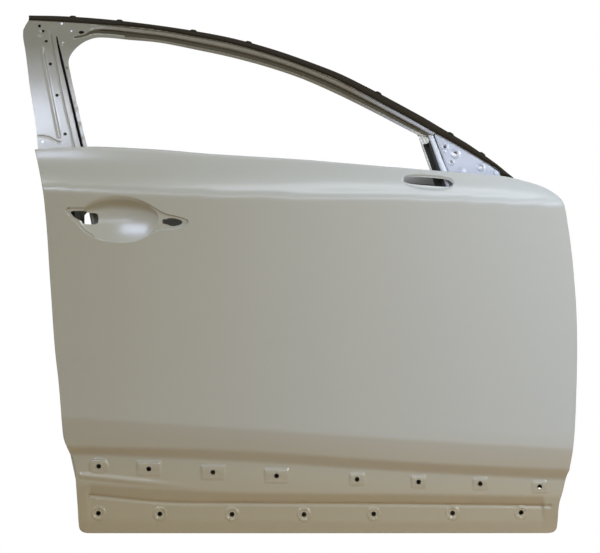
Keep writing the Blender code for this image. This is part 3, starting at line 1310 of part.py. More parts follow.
for number, (across, up) in enumerate(LATCH_SCREW_SHARES):
    screws.append(hole_through_wall("latch_screw_" + str(number), LATCH_OUT + across * LATCH_MOUTH_WIDTH,
                                    latch_height + up * LATCH_MOUTH_HEIGHT,
                                    circle(Vector((0, 0)), LATCH_SCREW_RADIUS), LATCH_FACE_PX))
cut_from(latch_plate, [mouth, *screws])
seats.append(wall_seat("latch_seat", LATCH_FACE_PX, -1, LATCH_OUT, latch_height, LATCH_SEAT))
join_to(panel, seats)
cut_from(panel, [*cutters, check_slot, harness, mouth, *screws])

impact_beam()
beam_bracket("impact_beam_bracket_rear", -1, 0)
beam_bracket("impact_beam_bracket_front", 1, 1)
inner_belt_reinforcement()
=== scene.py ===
"""Looks of the bare car door shell: fine pressings, pearl paint and light for the picture.

Metres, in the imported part's own frame: +X to the car's front, +Z up, the painted side towards -Y.
As in the part's source, each pressing is drawn in side view in picture units (px), and each point has
its distance out of the belt.
"""

import math

import bmesh
import bpy
import numpy as np
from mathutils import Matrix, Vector
from mathutils.geometry import delaunay_2d_cdt


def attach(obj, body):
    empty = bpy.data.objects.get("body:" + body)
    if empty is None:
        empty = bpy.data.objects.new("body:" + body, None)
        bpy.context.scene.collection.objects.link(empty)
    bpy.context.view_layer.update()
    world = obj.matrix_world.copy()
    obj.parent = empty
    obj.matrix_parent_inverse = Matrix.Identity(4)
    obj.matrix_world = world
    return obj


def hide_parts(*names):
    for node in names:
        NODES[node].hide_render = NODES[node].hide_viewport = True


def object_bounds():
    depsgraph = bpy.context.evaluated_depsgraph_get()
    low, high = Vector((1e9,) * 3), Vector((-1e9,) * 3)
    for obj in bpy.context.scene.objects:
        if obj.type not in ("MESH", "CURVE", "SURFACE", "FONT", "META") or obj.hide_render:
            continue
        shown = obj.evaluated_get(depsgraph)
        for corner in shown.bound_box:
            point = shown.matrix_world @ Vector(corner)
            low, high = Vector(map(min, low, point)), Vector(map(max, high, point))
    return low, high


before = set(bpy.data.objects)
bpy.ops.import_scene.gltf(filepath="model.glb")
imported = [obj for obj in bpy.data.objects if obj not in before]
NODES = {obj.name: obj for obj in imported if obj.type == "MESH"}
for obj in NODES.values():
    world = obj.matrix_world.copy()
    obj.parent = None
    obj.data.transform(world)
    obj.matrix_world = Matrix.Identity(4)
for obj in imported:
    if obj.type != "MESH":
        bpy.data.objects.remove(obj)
cad_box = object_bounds()

# Side view: picture units to metres, and the hinge face that is the frame's origin
LENGTH = 1.204
HEIGHT = 1.125
REAR_PX = 22
FRONT_PX = 577
ROOF_PX = 14.5
FOOT_PX = 533
X_SCALE = LENGTH / (FRONT_PX - REAR_PX)
Z_SCALE = HEIGHT / (FOOT_PX - ROOF_PX)
HINGE_PX = (555, 262)
HINGE_SEAT_RISE = 0.0012
HINGE_DEPTH = 0.068
ORIGIN = ((HINGE_PX[0] - REAR_PX) * X_SCALE + HINGE_SEAT_RISE, HINGE_DEPTH,
          (FOOT_PX - HINGE_PX[1]) * Z_SCALE)
SKIN_GAUGE = 0.0008
INNER_GAUGE = 0.001
WELD_GAP = 0.0003
BEHIND_SKIN = SKIN_GAUGE + WELD_GAP

# How far out each crease of the skin lies, and the hollows between them
SHOULDER_OUT = 0.038
SHOULDER_HOLLOW = 0.006
SHELF_HEIGHT = 0.075
SIDE_HOLLOW = 0.013
LOW_CREASES_OUT = {"flare": 0.020, "undercut_top": 0.010, "undercut_foot": -0.005, "step_top": -0.003,
                   "step_foot": -0.006, "toe": -0.013, "foot": -0.018}
RECESS_DEPTHS = {"step_foot": 0.008, "toe": 0.001}
BOW = 0.050
CREST = 0.4
SHOULDER_ROLL = 0.015
LOW_ROLL = 0.0055
ROLL_FADE = 0.25
CREASES_PX = {
    "belt": ((35, 149.5), (87, 147), (158, 150), (206, 154), (254, 157), (302, 160), (350, 164),
             (398, 168), (440, 171.5), (500, 176), (516, 179), (536, 184.3), (550, 190.4), (561, 199),
             (564, 204)),
    "shoulder": ((43, 189), (120, 192.5), (227, 195.7), (330, 197.6), (432, 198.8), (520, 202.5),
                 (564, 204.5)),
    "flare": ((62, 417), (101, 420), (240, 428.5), (420, 440.5), (573, 449)),
    "undercut_top": ((65, 447), (100, 447.5), (240, 451), (420, 463), (570, 470)),
    "undercut_foot": ((70, 454), (100, 454.5), (240, 461), (420, 472), (565, 479.5)),
    "step_top": ((76, 484), (160, 489), (240, 493), (420, 494.5), (561, 497)),
    "step_foot": ((77, 494), (90, 495), (165, 502), (240, 503), (400, 504), (558, 506)),
    "toe": ((78, 521), (240, 521), (400, 522.5), (558, 521)),
    "foot": ((80, 533), (557, 533)),
}
REAR_EDGE_PX = ((35, 149.5), (38, 162), (44, 192), (46, 212), (48, 236), (50, 272), (52, 300), (54, 332),
                (56, 356), (59, 380), (61, 404), (62.5, 425), (64, 440), (68.5, 449), (73.5, 459),
                (75.6, 470), (76, 480), (77, 495), (78, 508), (78.6, 524), (80.5, 530), (86.5, 533))
FRONT_EDGE_PX = ((550, 533), (555.6, 530), (557.6, 524), (558.4, 504), (562.6, 492), (565.2, 479),
                 (569.6, 468), (573, 447), (574.5, 428), (576, 392), (577, 350), (576, 308), (574, 284),
                 (572, 260), (569, 236), (567, 224), (564.6, 208), (561, 199), (550, 190.4), (536, 184.3),
                 (516, 179))
BOWL_PX = ((65.3, 209.8), (66.4, 213.3), (72.1, 219.6), (79, 225.5), (82.5, 231.5), (91.7, 237.5),
           (104.3, 241.5), (120.4, 243.1), (131.8, 242.6), (143.3, 239.7), (151, 235), (158, 230.8),
           (172, 230.3), (183.5, 227.6), (189.8, 222.5), (188, 219), (175.5, 215.6), (165, 213.4),
           (157.1, 208.7), (145.6, 201.8), (131.8, 196.8), (113.5, 194.8), (97.4, 195.3), (86, 197.4),
           (78, 201), (74, 204.9), (68.7, 206.8))
REAR_HANDLE_HOLE_PX = ((70.1, 211), (73.3, 216.2), (78, 219.2), (82.5, 221.6), (83, 224.2), (98.3, 224.8),
                       (99.1, 219), (98, 213.3), (88.2, 213.1), (85.9, 211.0))
FRONT_HANDLE_HOLE_PX = ((162.6, 219.3), (162.8, 224), (168.6, 224.8), (171, 226.2), (175.5, 226.4),
                        (182.4, 224.2), (182.9, 220.8), (174.3, 218.2), (168.6, 218.1), (168.2, 219.3))
MIRROR_SLOT_PX = ((403.3, 180.8), (404.5, 182.6), (413, 184.6), (448.2, 187.5), (452.2, 185.6),
                  (452.7, 183.4), (447.6, 178.9), (407.4, 176.4), (404, 177.8))
MIRROR_DIP_PX = ((399.5, 180.5), (405.5, 187), (426, 191.2), (449, 191), (456.5, 183.2), (449, 175.8),
                 (405, 173.2))
UPPER_REAR_HOLES_PX = ((99, 466), (149, 468.6), (213, 472), (276.6, 475.5))
UPPER_FRONT_HOLES_PX = ((357, 479), (418.5, 481.7), (480, 483.5), (539.5, 486.5))
LOWER_HOLES_PX = ((98.6, 513), (160, 513.6), (232, 514), (304, 514.2), (373.7, 513.7), (452.4, 512.9),
                  (521, 512.3))

# Window frame: matched points of its outer edge and window edge, from the rear belt round to the front tip
FRAME_OUTER_PX = ((38, 148.4), (36.6, 132), (33.2, 108), (29.8, 88), (27, 66), (25, 51), (22.7, 38),
                  (22.3, 29), (25, 22), (32, 17.5), (52, 16), (86, 18), (122, 21.2), (158, 26),
                  (194, 31.5), (230, 38.5), (266, 48), (302, 60), (338, 74), (374, 92), (408, 110),
                  (434, 125), (458, 139), (482, 155), (504, 171))
FRAME_WINDOW_PX = ((87.5, 146.4), (83.5, 132), (78.2, 108), (73.5, 88), (70, 72), (68.3, 62), (69.5, 56),
                   (73.5, 50), (79, 44.7), (86, 40.3), (96, 37.2), (110, 37.4), (128, 39.2), (160, 42.2),
                   (196, 49.3), (230, 56.6), (266, 66.3), (302, 78.5), (338, 94.4), (374, 112.3),
                   (403, 127.5), (428, 140), (448, 150), (474, 163), (496, 174))
SUBSTEPS = 8
FRAME_SET_IN = 0.014
SLOPE_AT_BELT = 0.17
SLOPE_AT_ROOF = 0.42
FRAME_FOOT_PX = ((38.6, 157), (90.5, 156))
CORNER_CUT_PX = ((22.4, 36), (22.6, 29.2), (28, 19.2), (28.2, 17))
RETAINER_UNDER_PX = ((28.2, 19.2), (60, 20.9), (100, 23.6), (145, 27.1), (190, 34.8), (235, 43.9),
                     (280, 57.2), (325, 73.8), (345, 83.2), (370, 96.6), (383, 104.2), (400, 113.2),
                     (415, 121.5), (425, 127.6), (432, 131.8), (443, 137.4), (455, 144), (468, 151.4),
                     (486, 162.6), (495.5, 168), (499.6, 171.6), (501.2, 176.4), (513, 178.2))
RETAINER_TOP_PX = ((28.2, 14.8), (60, 15.5), (100, 18.2), (145, 23.2), (190, 29.8), (235, 38.5),
                   (280, 51.3), (325, 67.6), (345, 76), (370, 88.6), (383, 95.4), (400, 104.6),
                   (415, 112.8), (425, 118.4), (432, 122.6), (443, 129.2), (455, 136.4), (468, 144.2),
                   (486, 156.6), (495.5, 163.4), (501, 167.8), (506, 172), (513.2, 177.6))
PILLAR_STEP_PX = ((48.3, 27.5), (53.5, 54), (61.9, 95.2), (73.6, 146), (76, 157))
SLOT_PX = ((55.9, 34.6), (58.8, 49.3), (69.7, 95.2), (81.5, 144.5), (84.4, 157))
EMBOSS_PX = ((44.2, 45.5), (42.4, 52), (46.3, 72.3), (52.7, 104.5), (59.2, 136.6))
WAVE_PX = ((37, 136.4), (43.6, 136.6), (49.1, 137.5), (54.6, 140.3), (59.2, 142.6), (63, 142))
GROOVE_START_PX = ((71.6, 37.2), (80.3, 36), (85.8, 34.2), (91.3, 31.8), (98.7, 31), (112, 31.6),
                   (122, 32.8))
PILLAR_HOLES_PX = ((38.9, 25.5, 1.2), (42.6, 30.6, 1.15), (50.1, 63.8, 1.25), (56.9, 95.3, 1.25),
                   (65.3, 134.1, 1.3), (66.6, 68, 0.85))
PILLAR_OVALS_PX = ((45.8, 40.9, 1.7, 1.25), (81, 31.9, 2.8, 1.55))
BRIGHT_HOLES_PX = ((61.2, 23, 1.2), (70.9, 30.6, 0.9), (42.7, 141.8, 1.2))
DENTS_PX = ((74.8, 104), (76.6, 109.5), (80, 124), (83.2, 137))
SAIL_PX = ((433.9, 133.2), (436.8, 142), (441.5, 154), (447.4, 171), (455.5, 194), (478, 190),
           (503.5, 178.4), (501.5, 173.8), (487, 163.8), (468, 152.4), (452, 143.2), (437.5, 134.8))
SAIL_HOLES_PX = ((444.7, 146.8, 1.5, 3.6), (455.1, 153.7, 2.0, 5.0), (451.2, 162.6, 1.1, 3.2),
                 (480.6, 167.3, 1.1, 4.2))
SAIL_DIMPLES_PX = ((444.6, 151.3, 2.2), (461.5, 171.5, 5.5))
CHANNEL_FACE_PX = ((414.5, 132.6), (421, 134.2), (428.8, 136.4), (430, 139.8), (427.8, 143.2),
                   (422.7, 144.6), (425.6, 152), (429.1, 162), (432.3, 171.5), (434.6, 178), (431.9, 178),
                   (430, 171), (427, 161.5), (423.5, 151), (419.2, 138.8), (417.2, 135.5))
BAR_LEFT_PX = ((427.6, 135.4), (431, 144.4), (435, 156), (439.8, 170), (448, 194))
BAR_RIGHT_PX = ((433.2, 134.4), (436.8, 143.6), (441.2, 155), (446.9, 170.2), (455.5, 193.5))
REAR_CHANNEL_PX = ((91, 165), (96, 190), (102, 220), (108, 250), (113, 276))
FRONT_CHANNEL_PX = ((419, 138.5), (424.5, 155), (430, 171), (438, 196), (447, 224))
CLIPS_PX = ((72.7, 16.3), (120, 19.8), (194, 30.3), (249, 42.2), (379, 93.2), (451, 133.6), (483, 154.4))


def across_px(px):
    return (np.asarray(px, float) - REAR_PX) * X_SCALE


def up_px(px):
    return (FOOT_PX - np.asarray(px, float)) * Z_SCALE


def side_points(points):
    """Picture points as an array of places in side view, in metres."""
    points = np.asarray(points, float)
    return np.stack([across_px(points[:, 0]), up_px(points[:, 1])], 1)


def placed(points, out):
    """Places in side view with their distances out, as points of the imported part's frame."""
    points = np.asarray(points, float)
    out = np.broadcast_to(np.asarray(out, float), points.shape[:1])
    return np.stack([points[:, 0] - ORIGIN[0], -out - ORIGIN[1], points[:, 1] - ORIGIN[2]], 1)


def frame_x(px):
    """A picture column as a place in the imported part's frame."""
    return float(across_px(px)) - ORIGIN[0]


def frame_z(px):
    """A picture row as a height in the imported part's frame."""
    return float(up_px(px)) - ORIGIN[2]


def px_box(left, right, top, bottom):
    """A box of the picture in side view: its lowest and highest x, then its lowest and highest z."""
    return float(across_px(left)), float(across_px(right)), float(up_px(bottom)), float(up_px(top))


def within(box, x, z):
    low_x, high_x, low_z, high_z = box
    return (x >= low_x) & (x <= high_x) & (z >= low_z) & (z <= high_z)


def away_from(spot_px, x, z):
    """Distance from a spot that is given in picture units."""
    return np.hypot(x - across_px(spot_px[0]), z - up_px(spot_px[1]))


def smooth_line(points):
    """Height along the door as a smooth function through the points of one crease."""
    knots = side_points(points)
    rise = np.empty(len(knots))
    for index in range(len(knots)):
        before = knots[max(index - 1, 0)]
        after = knots[min(index + 1, len(knots) - 1)]
        rise[index] = (after[1] - before[1]) / (after[0] - before[0])

    def height(x):
        x = np.clip(x, knots[0, 0], knots[-1, 0])
        at = np.clip(np.searchsorted(knots[:, 0], x) - 1, 0, len(knots) - 2)
        a, b = knots[at], knots[at + 1]
        run = b[..., 0] - a[..., 0]
        t = (x - a[..., 0]) / run
        eased_rise = (b[..., 1] - a[..., 1]) * t * t * (3 - 2 * t)
        return a[..., 1] + eased_rise + run * t * (1 - t) * (rise[at] * (1 - t) - rise[at + 1] * t)

    return height


CREASE = {name: smooth_line(points) for name, points in CREASES_PX.items()}
BELT_HEIGHT = float(up_px(149.5))
FRAME_HEIGHT = HEIGHT - BELT_HEIGHT


def eased(value):
    value = np.clip(value, 0, 1)
    return value * value * (3 - 2 * value)


def bow(x):
    """How far the skin falls away from its crest towards the door's two ends."""
    return BOW * (x / LENGTH - CREST) ** 2


# Between these two places the foot of the lowest step lies further in
RECESS_REAR = float(across_px(87))
RECESS_FRONT = float(across_px(545))
RECESS_RUN = 4 * X_SCALE


def sharp_skin_out(x, z):
    """The skin's distance out, with its creases still sharp."""
    recess = eased((x - RECESS_REAR) / RECESS_RUN) * eased((RECESS_FRONT - x) / RECESS_RUN)
    shelf = np.minimum((CREASE["belt"](x) - CREASE["shoulder"](x)) / SHELF_HEIGHT, 1)
    stations = [("belt", SHOULDER_OUT * (1 - shelf), -SHOULDER_HOLLOW * shelf),
                ("shoulder", SHOULDER_OUT, -SIDE_HOLLOW)]
    stations += [(name, out - RECESS_DEPTHS.get(name, 0) * recess, 0)
                 for name, out in LOW_CREASES_OUT.items()]
    out = np.full(np.shape(x), LOW_CREASES_OUT["foot"])
    for (upper, out_a, bulge), (lower, out_b, _) in reversed(list(zip(stations, stations[1:]))):
        top = CREASE[upper](x)
        bottom = CREASE[lower](x)
        t = np.clip((top - z) / np.maximum(top - bottom, SKIN_GAUGE), 0, 1)
        out = np.where(z >= bottom, out_a + (out_b - out_a) * t + bulge * 4 * t * (1 - t), out)
    return out - bow(x)


# Where the surface is read to roll a crease, as shares of its radius, and how much each reading counts
KERNEL = ((-1.0, 0.05), (-0.75, 0.12), (-0.5, 0.16), (-0.25, 0.17), (0, 0.17), (0.25, 0.16), (0.5, 0.12),
          (0.75, 0.05))


def pressed_skin_out(x, z):
    """The skin's distance out with every crease rolled to its own radius."""
    fall = eased((CREASE["shoulder"](x) - z) / ROLL_FADE)
    reach = SHOULDER_ROLL * (1 - fall) + LOW_ROLL * fall
    total = sum(weight for _, weight in KERNEL)
    return sum(sharp_skin_out(x, z + step * reach) * weight for step, weight in KERNEL) / total


def inside_distance(polygon, x, z):
    """Distance to a polygon's outline, positive inside it."""
    nearest = np.full(np.shape(x), np.inf)
    crossings = np.zeros(np.shape(x), int)
    for a, b in zip(polygon, np.roll(polygon, -1, 0)):
        run = b - a
        t = np.clip(((x - a[0]) * run[0] + (z - a[1]) * run[1]) / (run @ run), 0, 1)
        nearest = np.minimum(nearest, np.hypot(x - a[0] - t * run[0], z - a[1] - t * run[1]))
        if a[1] != b[1]:
            cut = ((a[1] > z) != (b[1] > z)) & (a[0] + (z - a[1]) / (b[1] - a[1]) * run[0] > x)
            crossings += cut
    return np.where(crossings % 2 == 1, nearest, -nearest)


def cut_corners(points, rounds=2, closed=True):
    """A smoother line, by cutting its corners again and again."""
    points = np.asarray(points, float)
    for _ in range(rounds):
        after = np.roll(points, -1, 0)
        mixed = np.stack([points * 0.75 + after * 0.25, points * 0.25 + after * 0.75], 1).reshape(-1, 2)
        points = mixed if closed else np.concatenate([points[:1], mixed[:-2], points[-1:]])
    return points


def evenly(points, step, closed=False):
    """The same line with its points an even step apart."""
    points = np.asarray(points, float)
    if closed:
        points = np.concatenate([points, points[:1]])
    lengths = np.concatenate([[0], np.cumsum(np.hypot(*np.diff(points, axis=0).T))])
    count = max(int(round(lengths[-1] / step)), 2)
    at = np.linspace(0, lengths[-1], count + 1)[: count if closed else None]
    return np.stack([np.interp(at, lengths, points[:, axis]) for axis in (0, 1)], 1)


def right_of(line):
    """Unit directions to the right of an open line, as it is drawn."""
    along = np.gradient(line, axis=0)
    along /= np.linalg.norm(along, axis=1, keepdims=True)
    return np.stack([along[:, 1], -along[:, 0]], 1)


def ring_sides(ring):
    """Unit directions out of a closed ring, and 1 if it is drawn anticlockwise or -1 if not."""
    along = np.roll(ring, -1, 0) - np.roll(ring, 1, 0)
    along /= np.maximum(np.linalg.norm(along, axis=1, keepdims=True), 1e-9)
    area = np.sum(ring[:, 0] * np.roll(ring[:, 1], -1) - np.roll(ring[:, 0], -1) * ring[:, 1])
    turn = 1 if area > 0 else -1
    return np.stack([along[:, 1], -along[:, 0]], 1) * turn, turn


HANDLE_HOLES = [evenly(cut_corners(side_points(line), 1), 0.0016, closed=True)
                for line in (REAR_HANDLE_HOLE_PX, FRONT_HANDLE_HOLE_PX)]
MIRROR_SLOT = evenly(cut_corners(side_points(MIRROR_SLOT_PX)), 0.002, closed=True)
MIRROR_DIP = cut_corners(side_points(MIRROR_DIP_PX))
MIRROR_DIP_DEPTH = 0.004
MIRROR_DIP_FLANK = 0.006
CLIP_RADIUS = 0.0052
BOWL = cut_corners(side_points(BOWL_PX))
BOWL_CENTRE = side_points(((119, 219),))[0]
BOWL_RADII = (41 * X_SCALE, 24.4 * Z_SCALE)
BOWL_DEPTH = 0.0240
BOWL_DEEPEST_SHARE = 0.32
BOWL_END_POWER = 1.2
BOWL_RISE_POWER = 1.5
BOWL_EDGE_ROLL = 0.0018
EAR_DEPTH = 0.0042
EAR_TOP_PX = 207.4
EAR_EDGE_ROLL = 0.0022
EAR_BLEND = 0.0012
REAR_EAR_SHARES = (0.50, 0.16)
FRONT_EAR_SHARES = (0.66, 0.2)


def rounded_box(x, z, centre, half_x, half_z, corner):
    """Distance inside a rounded rectangle, positive inside it."""
    dx = np.abs(x - centre[0]) - (half_x - corner)
    dz = np.abs(z - centre[1]) - (half_z - corner)
    outside = np.hypot(np.maximum(dx, 0), np.maximum(dz, 0)) + np.minimum(np.maximum(dx, dz), 0)
    return corner - outside


def swell(distance, half):
    """1 on a line, falling smoothly to 0 at a half width from it."""
    return eased(1 - np.abs(distance) / half)


def bowl_relief(x, z):
    """A shelf for the handle's two ends, and between them a scoop, deepest under its rounded top lip."""
    edge = inside_distance(BOWL, x, z)
    across = np.abs(x - BOWL_CENTRE[0]) / BOWL_RADII[0]
    reach = np.sqrt(1 - np.clip(across, 0, 1) ** 2)
    half = BOWL_RADII[1] * reach
    down = np.clip((BOWL_CENTRE[1] + half - z) / np.maximum(2 * half, SKIN_GAUGE), 0, 1)
    rising = 1 - np.clip((down - BOWL_DEEPEST_SHARE) / (1 - BOWL_DEEPEST_SHARE), 0, 1) ** BOWL_RISE_POWER
    scoop = BOWL_DEPTH * reach ** BOWL_END_POWER * eased(down / BOWL_DEEPEST_SHARE) * rising
    under_top = eased((up_px(EAR_TOP_PX) - z) / EAR_EDGE_ROLL)
    rear_ear = under_top * eased((across - REAR_EAR_SHARES[0]) / REAR_EAR_SHARES[1])
    front_ear = eased((across - FRONT_EAR_SHARES[0]) / FRONT_EAR_SHARES[1])
    shelf = EAR_DEPTH * eased(edge / EAR_EDGE_ROLL) * np.where(x < BOWL_CENTRE[0], rear_ear, front_ear)
    both = np.maximum(shelf - scoop, 0)
    return -(scoop + both * eased(both / EAR_BLEND)) * eased(edge / BOWL_EDGE_ROLL)


# Clip pads from the rear: half their length, half their height and their corner's radius
PAD_SIZES = ((0.023, 0.018, 0.0175), *((0.028, 0.0175, 0.005),) * 3, *((0.0185, 0.0150, 0.005),) * 4)
PAD_RISE = 0.0038
PAD_FLANK = 0.005
PAD_FOOT_SHARE = 0.35
PAD_FOOT_BELOW = 0.012
PAD_FOOT_FADE = 0.02
# Round seats of the lower clips: a ring with a dish in it
SEAT_RISE = 0.0014
SEAT_RADIUS = 0.0165
SEAT_FLANK = 0.003
DISH_DEPTH = 0.0012
DISH_RADIUS = 0.0110
DISH_FLANK = 0.002
STEP_GROOVE_DEPTH = 0.0026
STEP_GROOVE_HALF = 0.0060
STEP_GROOVE_END = 0.006
STEP_GROOVE_ENDS_PX = (88, 553)
SILL_RIDGE_START_PX = (76, 474.5)
SILL_RIDGE_ENDS_PX = (77, 205)
SILL_RIDGE_FADES = (0.01, 0.20)
SILL_RIDGE_RISE = 0.0024
SILL_RIDGE_HALF = 0.0095
SILL_RIDGE_FALL = 0.105


def sill_relief(x, z):
    """Clip pads, the round seats below them, the groove at the step's foot and a ridge that runs out."""
    total = np.zeros(np.shape(x))
    for centre_px, (half_x, half_z, corner) in zip(UPPER_REAR_HOLES_PX + UPPER_FRONT_HOLES_PX, PAD_SIZES):
        centre = side_points((centre_px,))[0]
        near = (np.abs(x - centre[0]) < half_x) & (np.abs(z - centre[1]) < half_z)
        edge = rounded_box(x[near], z[near], centre, half_x, half_z, corner)
        fade = eased((z[near] - centre[1] + PAD_FOOT_BELOW) / PAD_FOOT_FADE)
        fade = PAD_FOOT_SHARE + (1 - PAD_FOOT_SHARE) * fade
        total[near] += PAD_RISE * eased(edge / PAD_FLANK) * fade
    for centre_px in LOWER_HOLES_PX:
        away = away_from(centre_px, x, z)
        total += SEAT_RISE * eased((SEAT_RADIUS - away) / SEAT_FLANK)
        total -= DISH_DEPTH * eased((DISH_RADIUS - away) / DISH_FLANK)
    rear, front = across_px(STEP_GROOVE_ENDS_PX)
    ends = eased((x - rear) / STEP_GROOVE_END) * eased((front - x) / STEP_GROOVE_END)
    total -= STEP_GROOVE_DEPTH * swell(z - CREASE["step_foot"](x), STEP_GROOVE_HALF) * ends
    start_x, start_z = side_points((SILL_RIDGE_START_PX,))[0]
    off_ridge = z - start_z + (x - start_x) * SILL_RIDGE_FALL
    rear, front = across_px(SILL_RIDGE_ENDS_PX)
    ends = eased((x - rear) / SILL_RIDGE_FADES[0]) * eased((front - x) / SILL_RIDGE_FADES[1])
    return total + SILL_RIDGE_RISE * swell(off_ridge, SILL_RIDGE_HALF) * ends


def dip_relief(x, z):
    """The shallow dip round the mirror's slot."""
    return -MIRROR_DIP_DEPTH * eased(inside_distance(MIRROR_DIP, x, z) / MIRROR_DIP_FLANK)


RELIEFS = ((px_box(55, 200, 185, 252), bowl_relief), (px_box(390, 465, 165, 198), dip_relief),
           ((-LENGTH, 2 * LENGTH, -HEIGHT, float(up_px(440))), sill_relief))


def skin_out(x, z):
    """The skin's distance out with all that is pressed into it."""
    out = pressed_skin_out(x, z)
    for box, relief in RELIEFS:
        near = within(box, x, z)
        out[near] += relief(x[near], z[near])
    return out


SLOPE_STEP = 0.0005
ROW_SHARE = 0.87


def facing(out_of, x, z):
    """Unit normals of a sheet, from how its distance out changes."""
    step = SLOPE_STEP
    across = (out_of(x + step, z) - out_of(x - step, z)) / (2 * step)
    up = (out_of(x, z + step) - out_of(x, z - step)) / (2 * step)
    normals = np.stack([-across, -np.ones(np.shape(x)), -up], 1)
    return normals / np.linalg.norm(normals, axis=1, keepdims=True)


def grid(low_x, high_x, low_z, high_z, step):
    """Free points in rows, each row half a step beside the last, for even triangles."""
    xs = np.arange(low_x, high_x + step / 2, step)
    zs = np.arange(low_z, high_z + step / 2, step * ROW_SHARE)
    gx, gz = np.meshgrid(xs, zs)
    gx[1::2] += step / 2
    return np.stack([gx.ravel(), gz.ravel()], 1)


def inside(points, outline, gap):
    """The points that stay a gap inside an outline."""
    return points[inside_distance(outline, *points.T) > gap]


def beside_rings(points, rings, gap):
    """The points that stay a gap away from rings."""
    for ring in rings:
        points = points[np.abs(inside_distance(ring, *points.T)) > gap]
    return points


def clear_of(points, others, gap, at_once=400):
    """The points that stay a gap away from other points."""
    kept = np.ones(len(points), bool)
    for start in range(0, len(others), at_once):
        away = points[:, None] - others[None, start:start + at_once]
        kept &= (np.hypot(away[..., 0], away[..., 1]) > gap).all(1)
    return points[kept]


MERGE_DISTANCE = 1e-7


def triangles_of(outline, holes, free):
    """Points and triangles of a sheet with an outline, holes and free points inside."""
    rings = [outline, *holes]
    edges = []
    first = 0
    for ring in rings:
        edges += [(first + k, first + (k + 1) % len(ring)) for k in range(len(ring))]
        first += len(ring)
    points = [Vector(p) for p in np.concatenate([*rings, free])]
    places, _, faces, origins, _, _ = delaunay_2d_cdt(points, edges, [], 0, MERGE_DISTANCE)
    places = np.array(places)
    faces = np.array(faces, int)
    middle = places[faces].mean(1)
    kept = inside_distance(outline, *middle.T) > 0
    for hole in holes:
        kept &= inside_distance(hole, *middle.T) < 0
    number = np.array([min(origin) if origin else -1 for origin in origins])
    return places, faces[kept], number


def to_linear(colour):
    """A colour written as rrggbb, as linear numbers."""
    parts = [int(colour[k:k + 2], 16) / 255 for k in (0, 2, 4)]
    return [part / 12.92 if part <= 0.04045 else ((part + 0.055) / 1.055) ** 2.4 for part in parts]


def node(tree, kind, inputs=(), **settings):
    """Adds a node, sets its settings and fills or links its inputs."""
    made = tree.nodes.new(kind)
    for name, value in settings.items():
        setattr(made, name, value)
    for key, value in dict(inputs).items():
        if isinstance(value, bpy.types.NodeSocket):
            tree.links.new(value, made.inputs[key])
        else:
            made.inputs[key].default_value = value
    return made


def linked(name, data):
    """A new object in the scene."""
    made = bpy.data.objects.new(name, data)
    bpy.context.scene.collection.objects.link(made)
    return made


def mesh_piece(name, points, faces, finish, normals=None, smooth=True):
    """A mesh object at the origin, with its normals given or smoothed."""
    mesh = bpy.data.meshes.new(name)
    mesh.from_pydata(np.asarray(points).tolist(), [], [tuple(face) for face in np.asarray(faces).tolist()])
    mesh.materials.append(finish)
    if smooth:
        mesh.shade_smooth()
    if normals is not None:
        mesh.normals_split_custom_set_from_vertices(np.asarray(normals).tolist())
    return linked(name, mesh)


def creased_piece(name, mesh, shape, finish, sharp):
    """A mesh object from an edited shape, smooth but for its edges sharper than an angle in degrees."""
    shape.to_mesh(mesh)
    shape.free()
    mesh.materials.clear()
    mesh.materials.append(finish)
    mesh.shade_smooth()
    mesh.set_sharp_from_angle(angle=math.radians(sharp))
    return linked(name, mesh)


def mount(piece, slot, *nodes):
    """Puts a finished piece on the door in place of the nodes it stands for."""
    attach(piece, "root")
    if nodes:
        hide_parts(*nodes)
    return piece


# Finishes. Each pattern's size is in millimetres, from bump to bump or from cloud to cloud.
CLOUD_MM = 333.3
DUST_MM = 71.4
PEEL_HEIGHT = 0.0002
COAT_ROUGHNESS = 0.17


